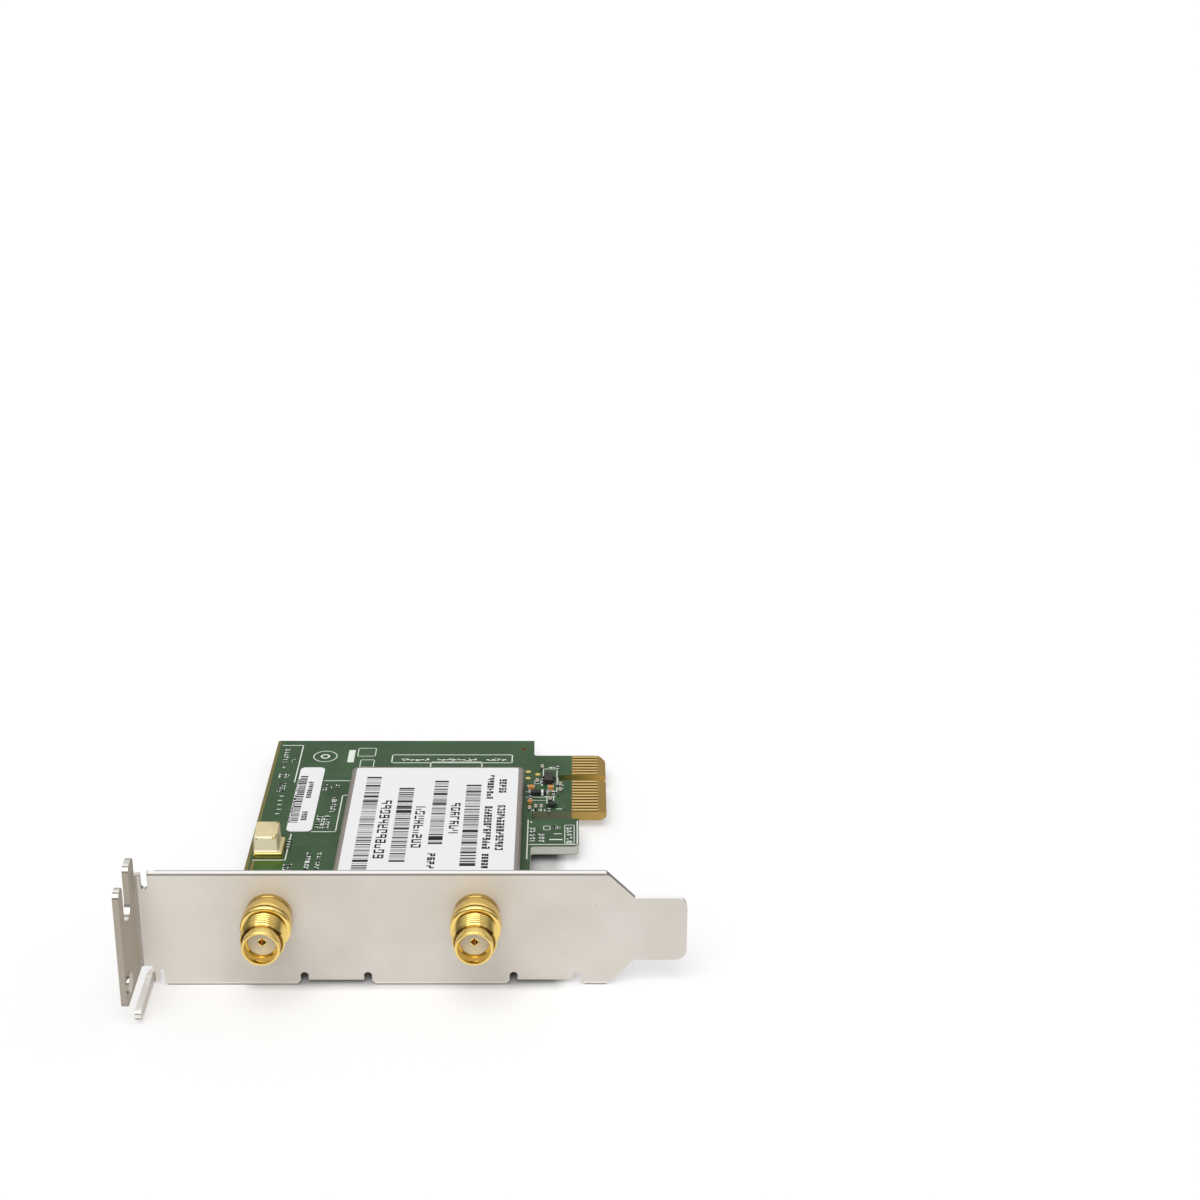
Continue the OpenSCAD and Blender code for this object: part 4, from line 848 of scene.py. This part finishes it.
silk = [
    line(12.7, 71.1, 16.1, 71.1), line(16.2, 57.4, 16.2, 71.1), line(12.7, 31.0, 17.6, 31.0),
    line(17.7, 31.0, 17.7, 39.4), line(21.2, 57.9, 25.5, 57.9), line(24.7, 40.2, 24.7, 52.7),
    line(20.9, 40.2, 24.7, 40.2), line(24.7, 52.7, 25.6, 52.7), fill(24.3, 64.7, 25.4, 69.3),
    line(55.55, 31.4, 55.55, 44.1), line(63.5, 35.9, 63.5, 43.7), line(55.9, 36.0, 63.5, 36.0),
    line(38.6, 64.8, 47.3, 64.8), line(38.6, 63.0, 38.6, 64.8), line(47.3, 63.0, 47.3, 64.8),
    line(60.2, 55.1, 61.1, 55.1), line(60.2, 47.9, 60.9, 47.9), line(59.8, 39.5, 60.9, 39.5),
    line(59.2, 37.6, 61.0, 37.6, 0.3), line(20.4, 58.9, 20.4, 60.4), fill(55.9, 43.2, 56.2, 43.6),
    fill(57.75, 52.5, 58.0, 54.0), line(58.2, 52.2, 59.8, 52.2), line(58.2, 54.2, 59.8, 54.2),
    line(56.2, 50.9, 58.6, 50.9, 0.1), line(14.4, 52.4, 14.9, 52.4), line(14.3, 50.9, 14.8, 50.9),
    line(14.4, 49.4, 14.9, 49.4), line(14.5, 47.8, 15.0, 47.8), line(14.4, 46.3, 14.9, 46.3)]
for box in [(31.9, 64.5, 52.4, 67.5), (57.8, 56.8, 60.1, 62.2, 0.14), (56.4, 56.8, 57.4, 58.0, 0.12),
            (58.1, 40.8, 59.1, 42.1, 0.12), (61.5, 36.3, 63.0, 42.4, 0.12),
            (25.9, 67.0, 28.9, 70.0, 0.14), (26.6, 62.9, 28.9, 65.6, 0.14)]:
    silk += outline(*box)
silk += [line(57.6, 56.2, 57.6, 59.0, 0.22), line(60.2, 56.2, 60.2, 59.0, 0.22),
         line(55.0, 52.0, 58.8, 52.0, 0.14), line(55.0, 53.9, 58.8, 53.9, 0.14),
         line(60.1, 53.9, 60.1, 55.4, 0.14), line(58.5, 49.9, 58.5, 52.0, 0.16),
         line(59.6, 49.9, 59.6, 52.0, 0.16)]
silkMarks = [  # (seed, left, right, near, far, pitch)
    (31, 13.3, 14.3, 64.5, 70.0, 0.9), (32, 14.9, 15.5, 64.6, 66.2, 0.8), (33, 13.6, 14.1, 62.6, 63.4, 0.7),
    (34, 13.3, 15.3, 59.0, 60.7, 0.8), (35, 13.6, 15.0, 54.0, 57.4, 0.8), (36, 21.2, 22.0, 54.4, 57.2, 0.8),
    (37, 22.5, 24.0, 55.2, 57.2, 0.8), (38, 23.1, 24.2, 46.8, 53.1, 0.8), (39, 21.2, 23.6, 41.4, 46.1, 0.9),
    (40, 20.9, 21.8, 26.5, 33.9, 0.9), (41, 22.6, 23.4, 26.5, 33.9, 0.9), (42, 17.6, 19.1, 26.0, 30.2, 0.8),
    (43, 33.5, 38.4, 65.2, 66.9, 1.2), (44, 39.6, 46.5, 65.2, 66.9, 1.2), (45, 48.0, 51.6, 65.2, 66.9, 1.2),
    (46, 60.0, 61.3, 56.0, 57.4, 0.7), (47, 60.2, 60.6, 52.1, 53.8, 0.8), (48, 58.8, 59.3, 50.7, 52.4, 0.8),
    (49, 55.5, 58.7, 47.2, 48.6, 0.7), (50, 61.3, 61.7, 47.7, 50.0, 0.8), (51, 55.9, 57.0, 36.8, 42.4, 1.0),
    (52, 57.3, 58.5, 36.8, 40.6, 1.0), (53, 59.6, 60.9, 41.1, 42.9, 0.6), (54, 61.8, 62.9, 36.6, 42.2, 1.1),
    (55, 58.7, 60.4, 62.4, 63.7, 0.7), (56, 57.1, 57.5, 61.4, 62.0, 0.5)]


def markRows(seed, left, right, near, far, pitch):  # several columns of marks side by side
    columns = max(1, round((right - left) / silkLook["column"]))
    step = (right - left) / columns
    return [markRun(seed * 10 + k, left + k * step, left + (k + silkLook["columnShare"]) * step,
                    near, far, pitch, silkLook["stroke"], silkLook["share"])
            for k in range(columns)]


for place in silkMarks:
    silk += markRows(*place)
printPiece("board_legend", silk, boardTop, silkLook["height"], "silk")


def ring(x, y, radius, wide, height, sides=40):  # a flat ring: a box section carried round a circle
    angle = np.arange(sides) * 2 * np.pi / sides
    section = np.array([(radius, 0), (radius + wide, 0), (radius + wide, height), (radius, height)])
    points = np.stack([x + section[:, :1] * np.cos(angle), y + section[:, :1] * np.sin(angle),
                       boardTop + section[:, 1:] * np.ones(sides)], -1)
    return points.reshape(-1, 3), gridFaces(4, sides, closedRows=True)


for name, radius, wide in [("legend_ring", 1.9, 0.16), ("legend_target", 0.5, 0.3)]:
    points, faces = ring(*silkLook["target"], radius, wide, silkLook["height"])
    makePiece(name, points, faces, "silk")
print("legend drawn")


# Small parts: bodies and their plated ends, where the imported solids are

partsLook = {"drop": 0.03, "bodyEdge": 0.04, "endEdge": 0.05, "chipEdge": 0.03, "skin": 0.002,
             "leads": 0.53, "frontDepth": 0.5, "frontFoot": 0.12, "frontTop": 0.02,
             "band": (57.55, 57.9), "bandFoot": 0.05, "bandTop": 0.01}


def endedParts(node, bodyName, endName, bodyFinish, share):
    # ends cover a share of the longer side; the body is a little smaller all round
    low, high = solidBoxes(node)
    drop = partsLook["drop"]
    blockPiece(bodyName, low + drop, high - drop, bodyFinish, [node], partsLook["bodyEdge"])
    pick, long = np.arange(len(low)), np.argmax((high - low)[:, :2], 1)
    cap = (high - low)[pick, long] * share
    nearHigh, farLow = high.copy(), low.copy()
    nearHigh[pick, long] = low[pick, long] + cap
    farLow[pick, long] = high[pick, long] - cap
    blockPiece(endName, np.vstack([low, farLow]), np.vstack([nearHigh, high]), "solder",
               edge=partsLook["endEdge"])


def logicFront():  # the darker near face of the chip with the brown top, between its leads
    look = partsLook
    low, high = nodeBox("logic_chip")
    near = [low[0] + look["leads"], low[1] + look["skin"], low[2] + look["frontFoot"]]
    far = [high[0] - look["leads"], low[1] + look["frontDepth"], high[2] - look["frontTop"]]
    blockPiece("logic_chip_front", near, far, "chip")


def diodeBand():  # the white band round one end of the diode
    look = partsLook
    low, high = nodeBox("power_diode")
    near = [look["band"][0], low[1] + look["skin"], low[2] + look["bandFoot"]]
    far = [look["band"][1], high[1] - look["drop"], high[2] - look["bandTop"]]
    blockPiece("diode_band", near, far, "silk")


endedParts("chip_capacitors", "capacitor_bodies", "capacitor_ends", "tan", 0.24)
endedParts("chip_resistors", "resistor_bodies", "resistor_ends", "chip", 0.2)
endedParts("tantalum_capacitors", "tantalum_bodies", "tantalum_ends", "orange", 0.14)
endedParts("power_diode", "diode_body", "diode_ends", "chip", 0.12)
softCopy("logic_chip", "logic_chip_body", "chipBrown", partsLook["chipEdge"])
logicFront()
softCopy("reset_chip", "reset_chip_body", "chip", partsLook["chipEdge"])
diodeBand()
print("small parts set")


# Clip: a folded cap on a spread foot, with a small curl at its left end

clipLook = {"corner": 0.3, "steps": 6, "foldFrom": 3.4, "foldPull": 1.5, "wire": 0.11,
            "curl": [(16.25, 33.3, 6.42), (16.2, 32.85, 6.3), (16.0, 32.72, 6.05), (15.75, 32.72, 6.02),
                     (15.65, 32.8, 6.2)],
            "levels": [  # height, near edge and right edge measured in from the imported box, near drop
                (0.0, 0.04, 0.0, 0), (0.72, 0.0, 0.0, 0), (0.84, 0.05, 0.05, 0), (0.92, 0.16, 0.16, 0),
                (0.95, 0.34, 0.36, 0), (1.0, 0.5, 0.62, 0), (1.15, 0.58, 0.78, 0), (3.15, 1.2, 0.82, 0.3),
                (3.4, 1.28, 0.84, 0.4), (3.57, 1.36, 0.92, 0.45), (3.66, 1.48, 1.04, 0.47),
                (3.7, 1.62, 1.18, 0.48)]}


def makeClip():
    # level = a rectangle with quarter-circle corners, its near side lower by drop, at each height
    look = clipLook
    turn = np.linspace(0, math.pi / 2, look["steps"])
    loops = []
    for height, near, right, drop in look["levels"]:
        over = max(height - look["foldFrom"], 0) ** 2 * look["foldPull"]
        low = np.array([clipLow[0] + over, clipLow[1] + near]) + look["corner"]
        high = np.array([clipHigh[0] - right, clipHigh[1] - over]) - look["corner"]
        loop = []
        for k, centre in enumerate([high, (low[0], high[1]), low, (high[0], low[1])]):
            angle = turn + k * math.pi / 2
            loop.append(np.column_stack([centre[0] + look["corner"] * np.cos(angle),
                                         centre[1] + look["corner"] * np.sin(angle)]))
        loop = np.vstack(loop)
        back = (loop[:, 1] - low[1]) / (high[1] - low[1])
        loops.append(np.column_stack([loop, clipLow[2] + height - drop * (1 - back)]))
    points = np.vstack(loops)
    count = len(loops[0])
    faces = gridFaces(len(loops), count)
    faces += [list(range(count)), list(range(len(points) - count, len(points)))]
    makePiece("clip_cap", points, faces, "clipGold", ["plated_clip"], sharp=50)


makeClip()
points, faces = tube(smoothPath(clipLook["curl"], 6), clipLook["wire"], 10)
makePiece("clip_curl", points, faces, "jackGold")
print("clip folded")


# Studio

def makeFloor():
    # mirrors see the paper fade out from near to far metres, as a sheet under one lamp does
    look = {"side": 6.0, "paper": grey(0.66), "faded": grey(0.22), "lift": 0.35, "near": 0.3,
            "far": 0.85, "shade": ((17.0, 0.2), (60.0, 69.0)), "reach": 2.0}
    half = look["side"] / 2
    corners = [(-half, -half, 0), (half, -half, 0), (half, half, 0), (-half, half, 0)]
    mesh = bpy.data.meshes.new("floor")
    mesh.from_pydata(corners, [], [(0, 1, 2, 3)])
    floor = bpy.data.objects.new("floor", mesh)
    bpy.context.scene.collection.objects.link(floor)
    s = Shader("studio paper")
    local = s.add("ShaderNodeTexCoord", out=3)
    away = s.add("ShaderNodeVectorMath", {"operation": "LENGTH"}, {0: local}, out=1)
    # the lift starts outside the shade under the board and is whole at reach millimetres from it;
    # withholding it there paints extra shade under the board, over the real shadow
    place, (low, high) = s.axes(s.card()), np.array(look["shade"])
    beyond = [larger(abs(place[k] - (high[k] + low[k]) / 2) - (high[k] - low[k]) / 2, 0.0)
              for k in (0, 1)]
    apart = (beyond[0] * beyond[0] + beyond[1] * beyond[1]) ** 0.5
    clear = s.clamped(apart, 1 / look["reach"])
    direct, mirrored, through = [s.add("ShaderNodeLightPath", out=k) for k in (0, 3, 6)]
    fade = s.clamped((away - look["near"]) / (look["far"] - look["near"])) * mirrored
    lifted = larger(larger(direct, through), mirrored)
    paper = s.add("ShaderNodeBsdfDiffuse", None, {"Color": s.mix(fade, look["paper"], look["faded"])})
    glow = s.add("ShaderNodeEmission", None, {
        "Color": grey(1), "Strength": lifted * (1 - fade) * clear * look["lift"]})
    shown = s.add("ShaderNodeAddShader", None, {0: paper, 1: glow})
    s.add("ShaderNodeOutputMaterial", None, {"Surface": shown})
    mesh.materials.append(s.owner)


def makeWorld():
    # mirrors see a dark room that brightens with height; matt surfaces see one even level
    look = {"air": 0.6, "levels": [(0.0, 0.3), (0.2, 0.33), (0.42, 0.6), (0.75, 1.1)],
            "sides": 0.62, "sideFrom": 0.6, "sideTop": 0.5}
    world = bpy.data.worlds.new("studio")
    bpy.context.scene.world = world
    s = Shader("studio", world)
    x, y, z = s.axes(s.add("ShaderNodeTexCoord", out=0))
    direct, mirrored = [s.add("ShaderNodeLightPath", out=k) for k in (0, 3)]
    room = s.ramp(z, [(place, grey(level)) for place, level in look["levels"]])
    beside = (abs(x) > look["sideFrom"]) * (z < look["sideTop"])
    mirror = room * (1 - beside * (1 - look["sides"]))
    level = direct + (1 - direct) * (mirrored * mirror + (1 - mirrored) * look["air"])
    sky = s.add("ShaderNodeBackground", None, {"Color": grey(1), "Strength": level})
    s.add("ShaderNodeOutputWorld", None, {"Surface": sky})


def aimAxes(back):  # columns: right, up and back of something that looks along minus back
    back = np.array(back, float) / np.linalg.norm(back)
    right = np.cross(upHint, back)
    right /= np.linalg.norm(right)
    return np.column_stack([right, np.cross(back, right), back]).tolist()


def makeSun():  # one large soft lamp, high in front
    look = {"back": (-0.12, -0.62, 1.0), "strength": 1.5, "spread": 50}
    data = bpy.data.lights.new("key", "SUN")
    data.energy = look["strength"]
    data.angle = math.radians(look["spread"])
    lamp = bpy.data.objects.new("key", data)
    bpy.context.scene.collection.objects.link(lamp)
    lamp.rotation_euler = Matrix(aimAxes(look["back"])).to_euler()


def makeCamera():
    # the photograph's own view, from a pinhole fit to the bracket's and the connector's real sizes
    look = {"place": (63.0, -280.24, 178.64), "yaw": 0.705, "pitch": 22.873, "roll": 0.328,
            "focalPixels": 2262.9, "framePixels": 1200, "sensor": 36.0}
    yaw, pitch, roll = (math.radians(look[k]) for k in ("yaw", "pitch", "roll"))
    right = np.array([math.cos(yaw), -math.sin(yaw), 0.0])
    ahead = np.array([math.sin(yaw) * math.cos(pitch), math.cos(yaw) * math.cos(pitch), -math.sin(pitch)])
    up = np.cross(right, ahead)
    across = right * math.cos(roll) + up * math.sin(roll)
    upward = up * math.cos(roll) - right * math.sin(roll)
    data = bpy.data.cameras.new("camera")
    data.sensor_width = look["sensor"]
    data.lens = look["focalPixels"] / look["framePixels"] * look["sensor"]
    data.clip_start, data.clip_end = 0.01, 20.0
    camera = bpy.data.objects.new("camera", data)
    bpy.context.scene.collection.objects.link(camera)
    turn = Matrix(np.column_stack([across, upward, -ahead]).tolist()).to_4x4()
    camera.matrix_world = Matrix.Translation(toFrame(look["place"])) @ turn
    bpy.context.scene.camera = camera


makeFloor()
makeWorld()
makeSun()
makeCamera()
bpy.context.scene.view_settings.view_transform = "Standard"
print("studio lit")
